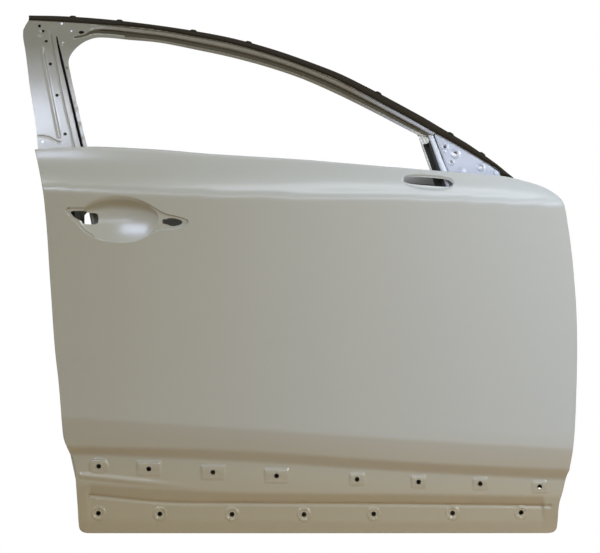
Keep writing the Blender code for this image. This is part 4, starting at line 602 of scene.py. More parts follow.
def metal_finish(name, colour, second, roughness, metallic, bump, grain_mm, coat=0.0, gloss=0.5, fades=()):
    """A painted or bare sheet: two close tones in soft clouds, with orange peel and faint dust.

    Each fade, a gradient of painted light or shade, is an axis, the places where it starts and ends, its far
    colour and how much of that it reaches.
    """
    finish = bpy.data.materials.new(name)
    finish.use_nodes = True
    tree = finish.node_tree
    shader = tree.nodes["Principled BSDF"]
    place = node(tree, "ShaderNodeTexCoord").outputs["Object"]

    def noise(size_mm, detail):
        return node(tree, "ShaderNodeTexNoise", {
            "Vector": place, "Scale": 1000 / size_mm, "Detail": detail}).outputs["Fac"]

    tone = node(tree, "ShaderNodeMix", {"Factor": noise(CLOUD_MM, 3.0)}, data_type="RGBA")
    tone.inputs["A"].default_value = (*to_linear(colour), 1)
    tone.inputs["B"].default_value = (*to_linear(second), 1)
    colour_out = tone.outputs["Result"]
    for axis, start, end, far, most in fades:
        spot = node(tree, "ShaderNodeSeparateXYZ", {"Vector": place}).outputs[axis]
        share = node(tree, "ShaderNodeMapRange", {
            "Value": spot, "From Min": start, "From Max": end, "To Max": most})
        blend = node(tree, "ShaderNodeMix", {"Factor": share.outputs["Result"]}, data_type="RGBA")
        blend.inputs["B"].default_value = (*to_linear(far), 1)
        tree.links.new(colour_out, blend.inputs["A"])
        colour_out = blend.outputs["Result"]
    tree.links.new(colour_out, shader.inputs["Base Color"])
    lumps = node(tree, "ShaderNodeBump", {
        "Height": noise(grain_mm, 2.0), "Strength": bump, "Distance": PEEL_HEIGHT})
    tree.links.new(lumps.outputs["Normal"], shader.inputs["Normal"])
    rough = node(tree, "ShaderNodeMapRange", {
        "Value": noise(DUST_MM, 5.0), "To Min": roughness - 0.03, "To Max": roughness + 0.05})
    tree.links.new(rough.outputs["Result"], shader.inputs["Roughness"])
    shader.inputs["Metallic"].default_value = metallic
    shader.inputs["Specular IOR Level"].default_value = gloss
    shader.inputs["Coat Weight"].default_value = coat
    shader.inputs["Coat Roughness"].default_value = COAT_ROUGHNESS
    return finish


# Painted shade: darker and browner towards the roof, into which the header's bead blends at the corner
ROOF_SHADE_TONE = "7a7765"
ROOF_SHADE_FADE = ("Z", frame_z(90), frame_z(45), ROOF_SHADE_TONE, 1.0)
CORNER_SHADE_FADE = ("X", frame_x(125), frame_x(80), ROOF_SHADE_TONE, 1.0)
# Painted shade: darker along the header's window edge
HEADER_SHADE_FADE = ("X", frame_x(98), frame_x(116), "6f6956", 1.0)
# Painted highlight: silver towards the mirror
FRONT_HIGHLIGHT_FADE = ("X", frame_x(350), frame_x(425), "9a9da0", 1.0)

# Sprayed pearl lacquer on deep-drawn steel with a soft sheen, warm grey. Painted light turns it silver
# towards the front,
# and painted warm light from the floor below makes it browner at the sill.
pearl = metal_finish("satin_pearl_paint", "a9a794", "a3a18d", roughness=0.30, metallic=0.02, bump=0.03,
    grain_mm=1.11, coat=0.9, gloss=0.3,
    fades=(("X", frame_x(80), frame_x(570), "b9bdb8", 1.0),
           ("Z", frame_z(430), frame_z(500), "a5986f", 0.65)))
# The same paint without its thick clear coat, as the frame has it: greyer, and darker and browner towards the
# roof as painted shade
frame_paint = metal_finish("pillar_paint", "a3a196", "9b998e", roughness=0.24, metallic=0.22, bump=0.04,
    grain_mm=1.11, coat=0.3, fades=(ROOF_SHADE_FADE,))
# The header's bead: dark brown as painted shade, and silver again near the mirror as a painted highlight
header_paint = metal_finish("header_bead_shade_and_highlight", "665f4b", "5f5844", roughness=0.30, metallic=0.2,
    bump=0.05, grain_mm=1.11, coat=0.2, fades=(CORNER_SHADE_FADE, FRONT_HIGHLIGHT_FADE))
# Painted shade: dull dark brown in the header's groove, where the bead beside it shades it
header_groove = metal_finish("header_groove_painted_shade", "4e4836", "464030", roughness=0.5, metallic=0.0,
    bump=0.05, grain_mm=1.11, gloss=0.2)
# The window edge, painted as the face beside it, with painted shade towards the roof and along the header and
# a painted highlight near the mirror
edge_paint = metal_finish("window_edge_paint", "a3a196", "9b998e", roughness=0.30, metallic=0.1, bump=0.05,
    grain_mm=1.11, coat=0.2, fades=(ROOF_SHADE_FADE, HEADER_SHADE_FADE, FRONT_HIGHLIGHT_FADE))
# Painted highlights: small spots that shine almost white
spot_bright = metal_finish("painted_glint_spot", "f2f4f6", "e6e8ea", roughness=0.3, metallic=0.2, bump=0.1,
    grain_mm=1.11)
# Painted shade: near black on the floor of a deep slot that light does not reach
groove_dark = metal_finish("slot_painted_shade", "111114", "0c0c0f", roughness=0.8, metallic=0.0, bump=0.1,
    grain_mm=2.5, gloss=0.1)
# Light, uneven paint over the weld marks of the front channel's flange
lip_paint = metal_finish("edge_paint", "b2b2aa", "a4a49a", roughness=0.36, metallic=0.2, bump=0.1,
    grain_mm=1.43, coat=0.2)
# Smoother paint on the flat mirror panel, bluer and lighter as a painted reflection of a bright bluish light
sail_reflection_paint = metal_finish("sail_reflection_paint", "b3b8c0", "a9aeb6", roughness=0.25, metallic=0.12, bump=0.05,
    grain_mm=1.11, coat=0.3)
# The same painted bluish reflection on the narrow bar, a little duller
bar_reflection_paint = metal_finish("bar_reflection_paint", "aeb3b8", "a4a8ac", roughness=0.28, metallic=0.12, bump=0.05,
    grain_mm=1.11, coat=0.3)
# Dipped primer with thin paint on the channels' rolled steel
channel_paint = metal_finish("channel_paint", "8f8d82", "86847a", roughness=0.45, metallic=0.1, bump=0.08,
    grain_mm=1.43)
# Primer in the shaded front channel, darkened as painted shade
channel_dark = metal_finish("channel_primer_painted_shade", "3a3a36", "32322e", roughness=0.6, metallic=0.0, bump=0.1,
    grain_mm=1.67, gloss=0.2)
# Dipped dark primer inside the door, with little gloss
cavity_steel = metal_finish("cavity_primer", "4c4a42", "45433b", roughness=0.55, metallic=0.0, bump=0.1,
    grain_mm=2.0, gloss=0.3)
# One thin coat on the cabin side
inner_paint = metal_finish("inner_paint", "a4a298", "9c9a90", roughness=0.42, metallic=0.15, bump=0.08,
    grain_mm=1.43, coat=0.1)
# Zinc plating on forged nuts: bright, slightly clouded metal
zinc = metal_finish("zinc_plated_nut", "9a9a96", "8c8c88", roughness=0.38, metallic=0.9, bump=0.15,
    grain_mm=1.11)
# Dark dip coat on the retainer, a little rough
retainer_black = metal_finish("retainer_dark_coat", "261f10", "1d180c", roughness=0.55, metallic=0.0,
    bump=0.3, grain_mm=1.67, gloss=0.15)
# Swollen mastic, matt and lumpy
mastic = metal_finish("mastic_pad", "262624", "1f1f1d", roughness=0.85, metallic=0.0, bump=0.5,
    grain_mm=3.33)


def joined(a, b, forward):
    """Two triangles for each step between two closed rings of the same length."""
    a2, b2 = np.roll(a, -1), np.roll(b, -1)
    if forward:
        return np.concatenate([np.stack([a, b, b2], 1), np.stack([a, b2, a2], 1)])
    return np.concatenate([np.stack([a, b2, b], 1), np.stack([a, a2, b2], 1)])


def edged_sheet(name, outline, holes, free, out_of, finish, fold, hem):
    """A sheet formed to a surface whose edge folds back; fold and hem are given for each outline point."""
    count = len(outline)
    outward, way = ring_sides(outline)
    radius = fold / 2
    border = outline - outward * radius[:, None]
    places, faces, number = triangles_of(border, holes, free)
    out = out_of(*places.T)
    normals = facing(out_of, *places.T)
    on_ring = np.full(count, -1)
    for index, origin in enumerate(number):
        if 0 <= origin < count:
            on_ring[origin] = index
    front = normals[on_ring]
    sideways = np.insert(outward, 1, 0, axis=1)
    rings = []
    for turn in np.arange(1, 6) * math.pi / 5:
        rings.append((border + outward * (radius * math.sin(turn))[:, None],
                      out[on_ring] - radius * (1 - math.cos(turn)),
                      front * math.cos(turn) + sideways * math.sin(turn)))
    last = border - outward * hem[:, None]
    rings.append((last, out_of(*last.T) - fold, -front))
    points, turned, everything = [placed(places, out)], [normals], [faces]
    previous = on_ring
    total = len(places)
    for ring, ring_out, ring_normals in rings:
        current = np.arange(total, total + count)
        points.append(placed(ring, ring_out))
        turned.append(ring_normals)
        everything.append(joined(previous, current, way > 0))
        previous = current
        total += count
    return mesh_piece(name, np.concatenate(points), np.concatenate(everything), finish,
                      np.concatenate(turned))


def rows_beside(line, offsets, step):
    """Free points in rows beside a line, so that a sheet's triangles follow it."""
    line = evenly(line, step)
    across = right_of(line)
    return np.concatenate([line + across * offset for offset in offsets])


def disc(centre, radius, sides=24):
    turn = np.linspace(0, 2 * math.pi, sides, endpoint=False)
    return np.stack([centre[0] + radius * np.cos(turn), centre[1] + radius * np.sin(turn)], 1)


EDGE_ROUNDS = 3
HEM_STEP = 0.004
BELT_POINTS = 260


def skin_outline():
    """The skin's whole edge, with which of its points are hemmed."""
    rear = cut_corners(side_points(REAR_EDGE_PX), EDGE_ROUNDS, closed=False)
    front = cut_corners(side_points(FRONT_EDGE_PX), EDGE_ROUNDS, closed=False)
    belt_x = np.linspace(across_px(FRONT_EDGE_PX[-1][0]), across_px(REAR_EDGE_PX[0][0]), BELT_POINTS)
    belt = np.stack([belt_x, CREASE["belt"](belt_x)], 1)
    hemmed = evenly(np.concatenate([rear, front]), HEM_STEP)
    line = np.concatenate([hemmed, belt[1:-1]])
    return line, np.arange(len(line)) < len(hemmed)


BOWL_BOX = px_box(60, 194, 190, 247)
SLOT_BOX = px_box(395, 461, 169, 194)
SKIN_TOP = float(up_px(147))
# The skin's grids, the finest first, each with its step
SKIN_GRIDS = ((BOWL_BOX, 0.0021), (SLOT_BOX, 0.0021), ((0, LENGTH, 0, float(up_px(436))), 0.0036),
              ((0, LENGTH, float(up_px(212)), float(up_px(180))), 0.0042), ((0, LENGTH, 0, SKIN_TOP), 0.0075))
HEM_WIDTH = 0.009
HEM_FOLD = 2 * SKIN_GAUGE + INNER_GAUGE + 2 * WELD_GAP
BELT_EDGE_FOLD = 0.0011
BELT_EDGE_WIDTH = 0.0005
GUIDE_CLEARANCE = 0.0011
SKIN_EDGE_CLEARANCE = 0.0035
SKIN_HOLE_CLEARANCE = 0.0012
BOWL_GUIDES = np.arange(-4, 5) * 0.0008
STEP_GUIDES = np.arange(-3, 4) * 0.0018
GRID_OVERLAP = 0.002


def outer_skin():
    """The outer panel with its hem, and the rings of its holes and its edge."""
    outline, hemmed = skin_outline()
    clips = [disc(side_points((c,))[0], CLIP_RADIUS, 20)
             for c in UPPER_REAR_HOLES_PX + UPPER_FRONT_HOLES_PX + LOWER_HOLES_PX]
    holes = [*clips, *HANDLE_HOLES, MIRROR_SLOT]
    free = []
    covered = []
    for box, step in SKIN_GRIDS:
        points = grid(*box, step)
        for low, high in covered:
            points = points[~((points > low).all(1) & (points < high).all(1))]
        covered.append((points.min(0) - GRID_OVERLAP, points.max(0) + GRID_OVERLAP))
        free.append(points)
    foot_x = np.arange(float(across_px(86)), float(across_px(555)), 0.004)
    guides = np.concatenate([
        rows_beside(np.concatenate([BOWL, BOWL[:1]]), BOWL_GUIDES, 0.0018),
        rows_beside(np.stack([foot_x, CREASE["step_foot"](foot_x)], 1), STEP_GUIDES, 0.003)])
    free = np.concatenate([clear_of(np.concatenate(free), guides, GUIDE_CLEARANCE), guides])
    free = beside_rings(inside(free, outline, SKIN_EDGE_CLEARANCE), holes, SKIN_HOLE_CLEARANCE)
    fold = np.where(hemmed, HEM_FOLD, BELT_EDGE_FOLD)
    hem = np.where(hemmed, HEM_WIDTH, BELT_EDGE_WIDTH)
    return edged_sheet("outer_skin", outline, holes, free, skin_out, pearl, fold, hem), holes, outline


BUSY = ((0, LENGTH, 0, float(up_px(440))), BOWL_BOX, SLOT_BOX)
BACK_STEP = 0.010
BACK_EDGE_CLEARANCE = 0.006
BACK_HOLE_CLEARANCE = 0.003
BUSY_STEP = 0.0040
BUSY_REACH = 0.0042


def busy(x, z):
    """Where the skin's relief is too fine for the wider grid of its back."""
    found = np.zeros(np.shape(x), bool)
    for box in BUSY:
        found |= within(box, x, z)
    return found


def skin_back(holes, edge):
    """The skin's cavity side, in primer, on a wider grid that stays behind every hollow of the front."""
    free = grid(0, LENGTH, 0, SKIN_TOP, BACK_STEP)
    free = np.concatenate([free[~busy(*free.T)], *(grid(*box, BUSY_STEP) for box in BUSY)])
    free = beside_rings(inside(free, edge, BACK_EDGE_CLEARANCE), holes, BACK_HOLE_CLEARANCE)
    places, faces, _ = triangles_of(edge[::2], [hole[::2] for hole in holes], free)
    x, z = places.T
    out = skin_out(x, z)
    low = out.copy()
    for turn in np.arange(8) * math.pi / 4:
        low = np.minimum(low, skin_out(x + BUSY_REACH * math.cos(turn), z + BUSY_REACH * math.sin(turn)))
    out = np.where(busy(x, z), low, out) - SKIN_GAUGE
    return mesh_piece("skin_cavity_side", placed(places, out), faces[:, ::-1], cavity_steel,
                      -facing(skin_out, x, z))


def line_distance(line, x, z):
    """Distance from a line, positive on its right as drawn, and how far along it the nearest place is."""
    best = np.full(np.shape(x), np.inf)
    side = np.ones(np.shape(x))
    along = np.zeros(np.shape(x))
    passed = 0
    for a, b in zip(line[:-1], line[1:]):
        run = b - a
        length = math.hypot(*run)
        t = np.clip(((x - a[0]) * run[0] + (z - a[1]) * run[1]) / length ** 2, 0, 1)
        gap = np.hypot(x - a[0] - t * run[0], z - a[1] - t * run[1])
        near = gap < best
        best = np.where(near, gap, best)
        side = np.where(near, np.where(run[0] * (z - a[1]) - run[1] * (x - a[0]) > 0, -1, 1), side)
        along = np.where(near, passed + t * length, along)
        passed += length
    return best * side, along


def flowing(points, steps):
    """A smooth line through points, with a number of steps between each two."""
    points = np.asarray(points, float)
    padded = np.concatenate([2 * points[:1] - points[1:2], points, 2 * points[-1:] - points[-2:-1]])
    t = np.linspace(0, 1, steps, endpoint=False)[None, :, None]
    a, b, c, d = (padded[k:len(points) - 1 + k, None] for k in range(4))
    bend = (2 * a - 5 * b + 4 * c - d) * t ** 2 + (3 * b - a - 3 * c + d) * t ** 3
    curve = 0.5 * (2 * b + (c - a) * t + bend)
    return np.concatenate([curve.reshape(-1, points.shape[1]), points[-1:]])


STATION_OUTER = flowing(side_points(FRAME_OUTER_PX), SUBSTEPS)
STATION_WINDOW = flowing(side_points(FRAME_WINDOW_PX), SUBSTEPS)
STATION_ACROSS = STATION_WINDOW - STATION_OUTER
STATION_COUNT = len(STATION_OUTER)
HEADER_FIRST = 12 * SUBSTEPS
HEADER_LAST = 21 * SUBSTEPS
WINDOW_LAST = 20 * SUBSTEPS + 4


def frame_out(x, z):
    """Where the frame's outer face lies: it leans in more and more towards the roof."""
    rise = z - BELT_HEIGHT
    bend = (SLOPE_AT_ROOF - SLOPE_AT_BELT) / (2 * FRAME_HEIGHT)
    return -FRAME_SET_IN - bow(x) - rise * SLOPE_AT_BELT - rise * rise * bend


def frame_place(x, z):
    """A point's station on the frame, and its share of the way from the roof edge to the window."""
    away_x = x[:, None] - STATION_OUTER[None, :, 0]
    away_z = z[:, None] - STATION_OUTER[None, :, 1]
    cross = away_x * STATION_ACROSS[:, 1] - away_z * STATION_ACROSS[:, 0]
    share = (away_x * STATION_ACROSS[:, 0] + away_z * STATION_ACROSS[:, 1]) / (STATION_ACROSS ** 2).sum(1)
    change = (cross[:, :-1] > 0) != (cross[:, 1:] > 0)
    miss = np.where(change, np.abs(share[:, :-1] - 0.5), np.inf)
    best = miss.argmin(1)
    lost = ~np.isfinite(miss.min(1))
    best = np.where(lost, np.where(x > LENGTH / 2, STATION_COUNT - 2, 0), best)
    row = np.arange(len(x))
    a, b = cross[row, best], cross[row, best + 1]
    t = np.where(lost, 0, np.clip(a / np.where(a == b, 1, a - b), 0, 1))
    return (best + t) / SUBSTEPS, share[row, best] * (1 - t) + share[row, best + 1] * t


PILLAR_STEP, SLOT, EMBOSS, WAVE = (flowing(side_points(points), 4)
                                   for points in (PILLAR_STEP_PX, SLOT_PX, EMBOSS_PX, WAVE_PX))
GROOVE_SHARE = 0.72
HEADER_GROOVE = STATION_OUTER + STATION_ACROSS * GROOVE_SHARE
GROOVE = np.concatenate([flowing(side_points(GROOVE_START_PX), 3)[:-1],
                         HEADER_GROOVE[HEADER_FIRST:HEADER_LAST:4][1:]])
UNDER_LINE = flowing(side_points(RETAINER_UNDER_PX), 4)
RETAINER_EDGE = evenly(flowing(side_points(RETAINER_TOP_PX), 6), 0.003)

# What is pressed into the pillar plate: each form's rise or depth, its width, and how far it fades in or out
PILLAR_FRONT = float(across_px(104))
RIDGE_TOP = float(up_px(27))
RIDGE_TOP_FADE = 0.025
RIDGE_RISE = 0.0011
RIDGE_LEAST_WIDTH = 0.001
RIDGE_GROOVE_DEPTH = 0.0016
RIDGE_GROOVE_REAR = 0.0008
RIDGE_GROOVE_HALF = 0.0022
SLOT_TOP = float(up_px(36))
SLOT_DEPTH = 0.0055
SLOT_HALF = (0.0009, 0.0016)
SLOT_GROWTH = 0.06
SLOT_START_FADE = 0.012
SLOT_CORNER = 0.0004
SLOT_SHELF_DROP = 0.0012
SLOT_SHELF_FADES = (0.004, 0.08)
DENT_RISE = 0.0007
DENT_RADIUS = 0.0032
DENT_RING_HALF = 0.0018
EMBOSS_DEPTH = 0.0016
EMBOSS_HALF = 0.0060
EMBOSS_START_FADE = 0.02
PLATE_RISE = 0.0026
PLATE_SHARE = 0.36
PLATE_TOP = float(up_px(52))
PLATE_TOP_FADE = 0.10
RIDGE_POWER = 0.6
WAVE_DEPTH = 0.0014
WAVE_HALF = 0.0026
WAVE_LENGTH = 0.060
WAVE_END_FADE = 0.010
DIMPLES_PX = (((62, 43.6), 0.0055), ((39.5, 33), 0.010))
DIMPLE_DEPTH = 0.0010
# The header's groove and bead: each pair is where a size starts and how much it grows
GROOVE_DEPTH = (0.0024, 0.0010)
GROOVE_HALF = (0.0036, 0.0022)
GROOVE_GROWTH = 0.07
GROOVE_START_FADE = 0.01
BEAD_RISE = 0.0032
BEAD_POWER = 0.8
BEAD_START = float(across_px(84))
BEAD_START_FADE = 0.05
BEAD_END = float(across_px(436))
BEAD_INNER_SHARES = (0.60, 0.05)
BEAD_OUTER_SHARES = (0.27, 0.10)
BEAD_INNER_STATIONS = (16, 4)
BEAD_OUTER_STATIONS = (15, 5)


def grown(sizes, share):
    """A size that grows from its start by a share of its growth."""
    return sizes[0] + sizes[1] * share


def dome(share):
    """0 at both ends of a width and 1 in its middle."""
    share = np.clip(share, 0, 1)
    return 4 * share * (1 - share)


def pillar_relief(x, z, share):
    """The pillar's ridge with its slot, its dents and dimples, and its embossed lines."""
    step, _ = line_distance(PILLAR_STEP, x, z)
    slot, run = line_distance(SLOT, x, z)
    top = eased((RIDGE_TOP - z) / RIDGE_TOP_FADE)
    on_ridge = dome(step / np.maximum(step - slot, RIDGE_LEAST_WIDTH)) ** RIDGE_POWER
    on_ridge *= (step > 0) & (slot < 0)
    groove = swell(step + RIDGE_GROOVE_REAR, RIDGE_GROOVE_HALF)
    relief = (RIDGE_RISE * on_ridge - RIDGE_GROOVE_DEPTH * groove) * top
    half = grown(SLOT_HALF, eased(run / SLOT_GROWTH)) + SLOT_CORNER
    relief -= SLOT_DEPTH * eased(run / SLOT_START_FADE) * eased((half - np.abs(slot)) / (2 * SLOT_CORNER))
    beyond = (slot > 0) & (z < SLOT_TOP)
    shelf = eased(slot / SLOT_SHELF_FADES[0]) * eased((SLOT_TOP - z) / SLOT_SHELF_FADES[1])
    relief -= SLOT_SHELF_DROP * beyond * shelf
    for dent in DENTS_PX:
        relief += DENT_RISE * swell(away_from(dent, x, z) - DENT_RADIUS, DENT_RING_HALF)
    emboss, emboss_run = line_distance(EMBOSS, x, z)
    relief -= EMBOSS_DEPTH * swell(emboss, EMBOSS_HALF) * eased(emboss_run / EMBOSS_START_FADE)
    plate = dome(share / PLATE_SHARE) * (emboss < 0)
    relief += PLATE_RISE * plate * eased((PLATE_TOP - z) / PLATE_TOP_FADE)
    wave, wave_run = line_distance(WAVE, x, z)
    relief -= WAVE_DEPTH * swell(wave, WAVE_HALF) * eased((WAVE_LENGTH - wave_run) / WAVE_END_FADE)
    for spot, radius in DIMPLES_PX:
        relief -= DIMPLE_DEPTH * swell(away_from(spot, x, z), radius)
    return relief


def frame_relief(x, z):
    """The pillar's relief, and the header's bead and groove."""
    station, share = frame_place(x, z)
    total = np.zeros(np.shape(x))
    near = x < PILLAR_FRONT
    total[near] += pillar_relief(x[near], z[near], share[near])
    groove, run = line_distance(GROOVE, x, z)
    growth = eased(run / GROOVE_GROWTH)
    depth = grown(GROOVE_DEPTH, growth) * eased(run / GROOVE_START_FADE)
    total -= depth * swell(groove, grown(GROOVE_HALF, growth))
    first, count = BEAD_INNER_STATIONS
    inner = grown(BEAD_INNER_SHARES, eased((station - first) / count))
    first, count = BEAD_OUTER_STATIONS
    outer = grown(BEAD_OUTER_SHARES, eased((station - first) / count))
    head = eased((x - BEAD_START) / BEAD_START_FADE) * (x < BEAD_END)
    return total + BEAD_RISE * dome((share - outer) / (inner - outer)) ** BEAD_POWER * head


def face_out(x, z):
    """Where the frame's pressed face lies."""
    return frame_out(x, z) + frame_relief(x, z)


def sheet(name, outline, holes, free, out_of, gauge, finish, slots=(), slot_of=None):
    """A pressed sheet with its thickness: front, back and edges, with the front's true normals."""
    places, faces, _ = triangles_of(outline, holes, free)
    used = np.unique(faces)
    number = np.full(len(places), -1)
    number[used] = np.arange(len(used))
    places, faces = places[used], number[faces]
    area = np.cross(places[faces[:, 1]] - places[faces[:, 0]], places[faces[:, 2]] - places[faces[:, 0]])
    faces = np.where((area > 0)[:, None], faces, faces[:, ::-1])
    out = out_of(*places.T)
    normals = facing(out_of, *places.T)
    points = [placed(places, out), placed(places, out - gauge)]
    turned = [normals, -normals]
    total = 2 * len(places)
    everything = [faces, faces[:, ::-1] + len(places)]
    for ring, outside in [(outline, True), *((hole, False) for hole in holes)]:
        away, turn = ring_sides(ring)
        away = np.insert(away if outside else -away, 1, 0, axis=1)
        ring_out = out_of(*ring.T)
        points += [placed(ring, ring_out), placed(ring, ring_out - gauge)]
        turned += [away, away]
        first = np.arange(total, total + len(ring))
        everything.append(joined(first, first + len(ring), (turn > 0) == outside))
        total += 2 * len(ring)
    piece = mesh_piece(name, np.concatenate(points), np.concatenate(everything), finish,
                       np.concatenate(turned))
    for extra in slots:
        piece.data.materials.append(extra)
    if slot_of is not None:
        numbers = np.zeros(len(piece.data.polygons), np.int32)
        numbers[:len(faces)] = slot_of(*places[faces].mean(1).T)
        piece.data.polygons.foreach_set("material_index", numbers)
    return piece


def strip_ring(line, gauge):
    """A closed ring round a thin strip: the line, and the same line a gauge to its right."""
    line = np.asarray(line, float)
    into = np.diff(line, axis=0)
    into /= np.linalg.norm(into, axis=1, keepdims=True)
    left = np.stack([into[:, 1], -into[:, 0]], 1)
    both = np.concatenate([left[:1], left[:-1] + left[1:], left[-1:]])
    both[1:-1] *= 2 / (both[1:-1] ** 2).sum(1, keepdims=True)
    return np.concatenate([line, (line + both * gauge)[::-1]])


def tube(name, rings, finish, sharp=38):
    """A closed piece through rings of the same number of points, with flat ends."""
    rings = np.asarray(rings)
    stations, count = rings.shape[:2]
    index = np.arange(stations * count).reshape(stations, count)
    a, b = index[:-1], index[1:]
    faces = np.stack([a, b, np.roll(b, -1, 1), np.roll(a, -1, 1)], -1).reshape(-1, 4).tolist()
    faces += [index[0].tolist(), index[-1][::-1].tolist()]
    mesh = bpy.data.meshes.new(name)
    mesh.from_pydata(rings.reshape(-1, 3).tolist(), [], faces)
    shape = bmesh.new()
    shape.from_mesh(mesh)
    bmesh.ops.recalc_face_normals(shape, faces=shape.faces)
    return creased_piece(name, mesh, shape, finish, sharp)


def swept(name, origins, across, sections, finish, sharp=38):
    """A tube whose rings are given as (across, out) at each origin of the side view."""
    rings = []
    for origin, direction, section in zip(origins, across, sections):
        section = np.asarray(section)
        rings.append(placed(origin + direction * section[:, :1], section[:, 1]))
    return tube(name, rings, finish, sharp)


def on_frame(line, origin, direction):
    """A section's line with its depths measured from the frame's face instead of from the belt."""
    x, z = (origin + direction * line[:, :1]).T
    return np.stack([line[:, 0], line[:, 1] + frame_out(x, z)], 1)


def rolled(line, rounds=2):
    """A section line with its corners rolled, its two ends kept."""
    return cut_corners(line, rounds, closed=False)


FACE_GAUGE = 0.0012
FACE_STEP = 0.0028
MIRROR_JOINT_PX = ((414.5, 133.8), (420, 135.6), (430, 137.5), (433, 135))
PLATE_FINISH, SLOT_SHADE_FINISH, BEAD_FINISH, GROOVE_SHADE_FINISH, GLINT_FINISH = range(5)
FLANGE_SHARE = 0.86
BEAD_EDGE_SHARES = (0.58, 0.05)
GROOVE_SHADE_HALF = (0.0012, 0.0036)
GROOVE_SHADE_GROWTH = 0.10
SLOT_SHADE_HALF = (0.0014, 0.0010)


def face_finish(x, z):
    """Which of the face's finishes each of its triangles has."""
    slot, slot_run = line_distance(SLOT, x, z)
    groove, groove_run = line_distance(GROOVE, x, z)
    station, share = frame_place(x, z)
    header = x > across_px(90)
    bent = x < across_px(124)
    first, count = BEAD_INNER_STATIONS
    bead_edge = grown(BEAD_EDGE_SHARES, eased((station - first) / count))
    # The header's bead, and further on its flange, take the bead's painted shade
    number = np.where(header & (share < bead_edge), BEAD_FINISH, PLATE_FINISH)
    # The groove beside the bead, and near the corner the groove's line, take the groove's painted shade
    number = np.where(header & ~bent & (share >= bead_edge) & (share < FLANGE_SHARE), GROOVE_SHADE_FINISH, number)
    near_groove = np.abs(groove) < grown(GROOVE_SHADE_HALF, eased(groove_run / GROOVE_SHADE_GROWTH))
    number = np.where(bent & (groove_run > 0.004) & near_groove, GROOVE_SHADE_FINISH, number)
    flange = (x > across_px(124)) & (x < across_px(412)) & (share >= FLANGE_SHARE)
    number = np.where(x > across_px(433), PLATE_FINISH, np.where(flange, BEAD_FINISH, number))
    # Small spots painted almost white as highlights
    for *spot, radius in BRIGHT_HOLES_PX:
        number = np.where(away_from(spot, x, z) < radius * X_SCALE, GLINT_FINISH, number)
    # The pillar's slot takes the near-black painted shade
    in_slot = (np.abs(slot) < grown(SLOT_SHADE_HALF, eased(slot_run / SLOT_GROWTH))) & (slot_run > 0.002)
    return np.where(in_slot & (x < across_px(100)), SLOT_SHADE_FINISH, number)


HOLE_ROLL_SHARE = 1.25
CORNER_BOX = (-LENGTH, float(across_px(34)), float(up_px(36)), 2 * HEIGHT)
UNDER_RETAINER_PX = (432, 500)
UNDER_RETAINER_GAP = 0.001
FACE_OUTLINE_STEP = 0.0032
FACE_EDGE_CLEARANCE = 0.0012
FACE_GUIDE_EDGE_CLEARANCE = 0.0008
FACE_HOLE_CLEARANCE = 0.0007
SLOT_GUIDES = (-0.0032, -0.0026, -0.0020, -0.0012, 0, 0.0012, 0.0020, 0.0026, 0.0032)
STEP_LINE_GUIDES = (-0.0022, -0.0013, -0.0006, 0.0002, 0.0010)
GROOVE_GUIDES = np.arange(-3, 4) * 0.0015
WAVE_GUIDES = (-0.0016, 0, 0.0016)


def frame_face():
    """The frame's outer pressing: pillar plate, corner, header bead and groove."""
    corner = within(CORNER_BOX, *STATION_OUTER.T)
    before = STATION_OUTER[:corner.argmax()]
    after = STATION_OUTER[len(corner) - corner[::-1].argmax():]
    foot = side_points(FRAME_FOOT_PX)
    outer = np.concatenate([foot[:1], before, side_points(CORNER_CUT_PX), after])
    low, high = across_px(UNDER_RETAINER_PX)
    front = (UNDER_LINE[:, 0] > low) & (UNDER_LINE[:, 0] < high)
    edge = np.concatenate([foot[1:], STATION_WINDOW[:WINDOW_LAST], side_points(MIRROR_JOINT_PX),
                           UNDER_LINE[front] - (0, UNDER_RETAINER_GAP)])
    outline = evenly(np.concatenate([outer, edge[::-1]]), FACE_OUTLINE_STEP, closed=True)
    holes = [disc((across_px(x), up_px(y)), HOLE_ROLL_SHARE * r * X_SCALE, 20) for x, y, r in PILLAR_HOLES_PX]
    holes += [disc((0, 0), 1) * (half_x * X_SCALE, half_y * Z_SCALE) + (across_px(x), up_px(y))
              for x, y, half_x, half_y in PILLAR_OVALS_PX]
    guides = [rows_beside(line, offsets, step) for line, offsets, step in (
        (SLOT, SLOT_GUIDES, 0.0026), (PILLAR_STEP, STEP_LINE_GUIDES, 0.0026), (GROOVE, GROOVE_GUIDES, 0.003),
        (WAVE, WAVE_GUIDES, 0.0026))]
    guides += [disc((across_px(x), up_px(y)), r * X_SCALE, 12) for x, y, r in BRIGHT_HOLES_PX]
    guides = np.concatenate(guides)
    free = inside(grid(0, float(across_px(510)), float(up_px(158)), HEIGHT, FACE_STEP), outline,
                  FACE_EDGE_CLEARANCE)
    free = np.concatenate([clear_of(free, guides, GUIDE_CLEARANCE),
                           inside(guides, outline, FACE_GUIDE_EDGE_CLEARANCE)])
    free = beside_rings(free, holes, FACE_HOLE_CLEARANCE)
    return sheet("frame_face", outline, holes, free, face_out, FACE_GAUGE, frame_paint,
                 (groove_dark, header_paint, header_groove, spot_bright), face_finish)


LIP_ROLL = 0.0016
LIP_DEPTH = 0.0075
LIP_STEP = 0.004
LIP_SEAT = 0.0015
STRIP_GAUGE = 0.001


def window_lip():
    """The frame's edge beside the glass, rolled in from the face."""
    line = evenly(STATION_WINDOW[:WINDOW_LAST], LIP_STEP)
    away = right_of(line)
    turn = np.linspace(0, math.pi / 2, 5)
    hook = np.stack([np.sin(turn) - 1, np.cos(turn) - 1], 1) * LIP_ROLL
    hook = np.concatenate([hook, [(0, -LIP_DEPTH)]])
    base = face_out(*(line - away * LIP_SEAT).T)
    sections = [strip_ring(hook + (0, out), STRIP_GAUGE) for out in base]
    return swept("window_lip", line, away, sections, edge_paint)


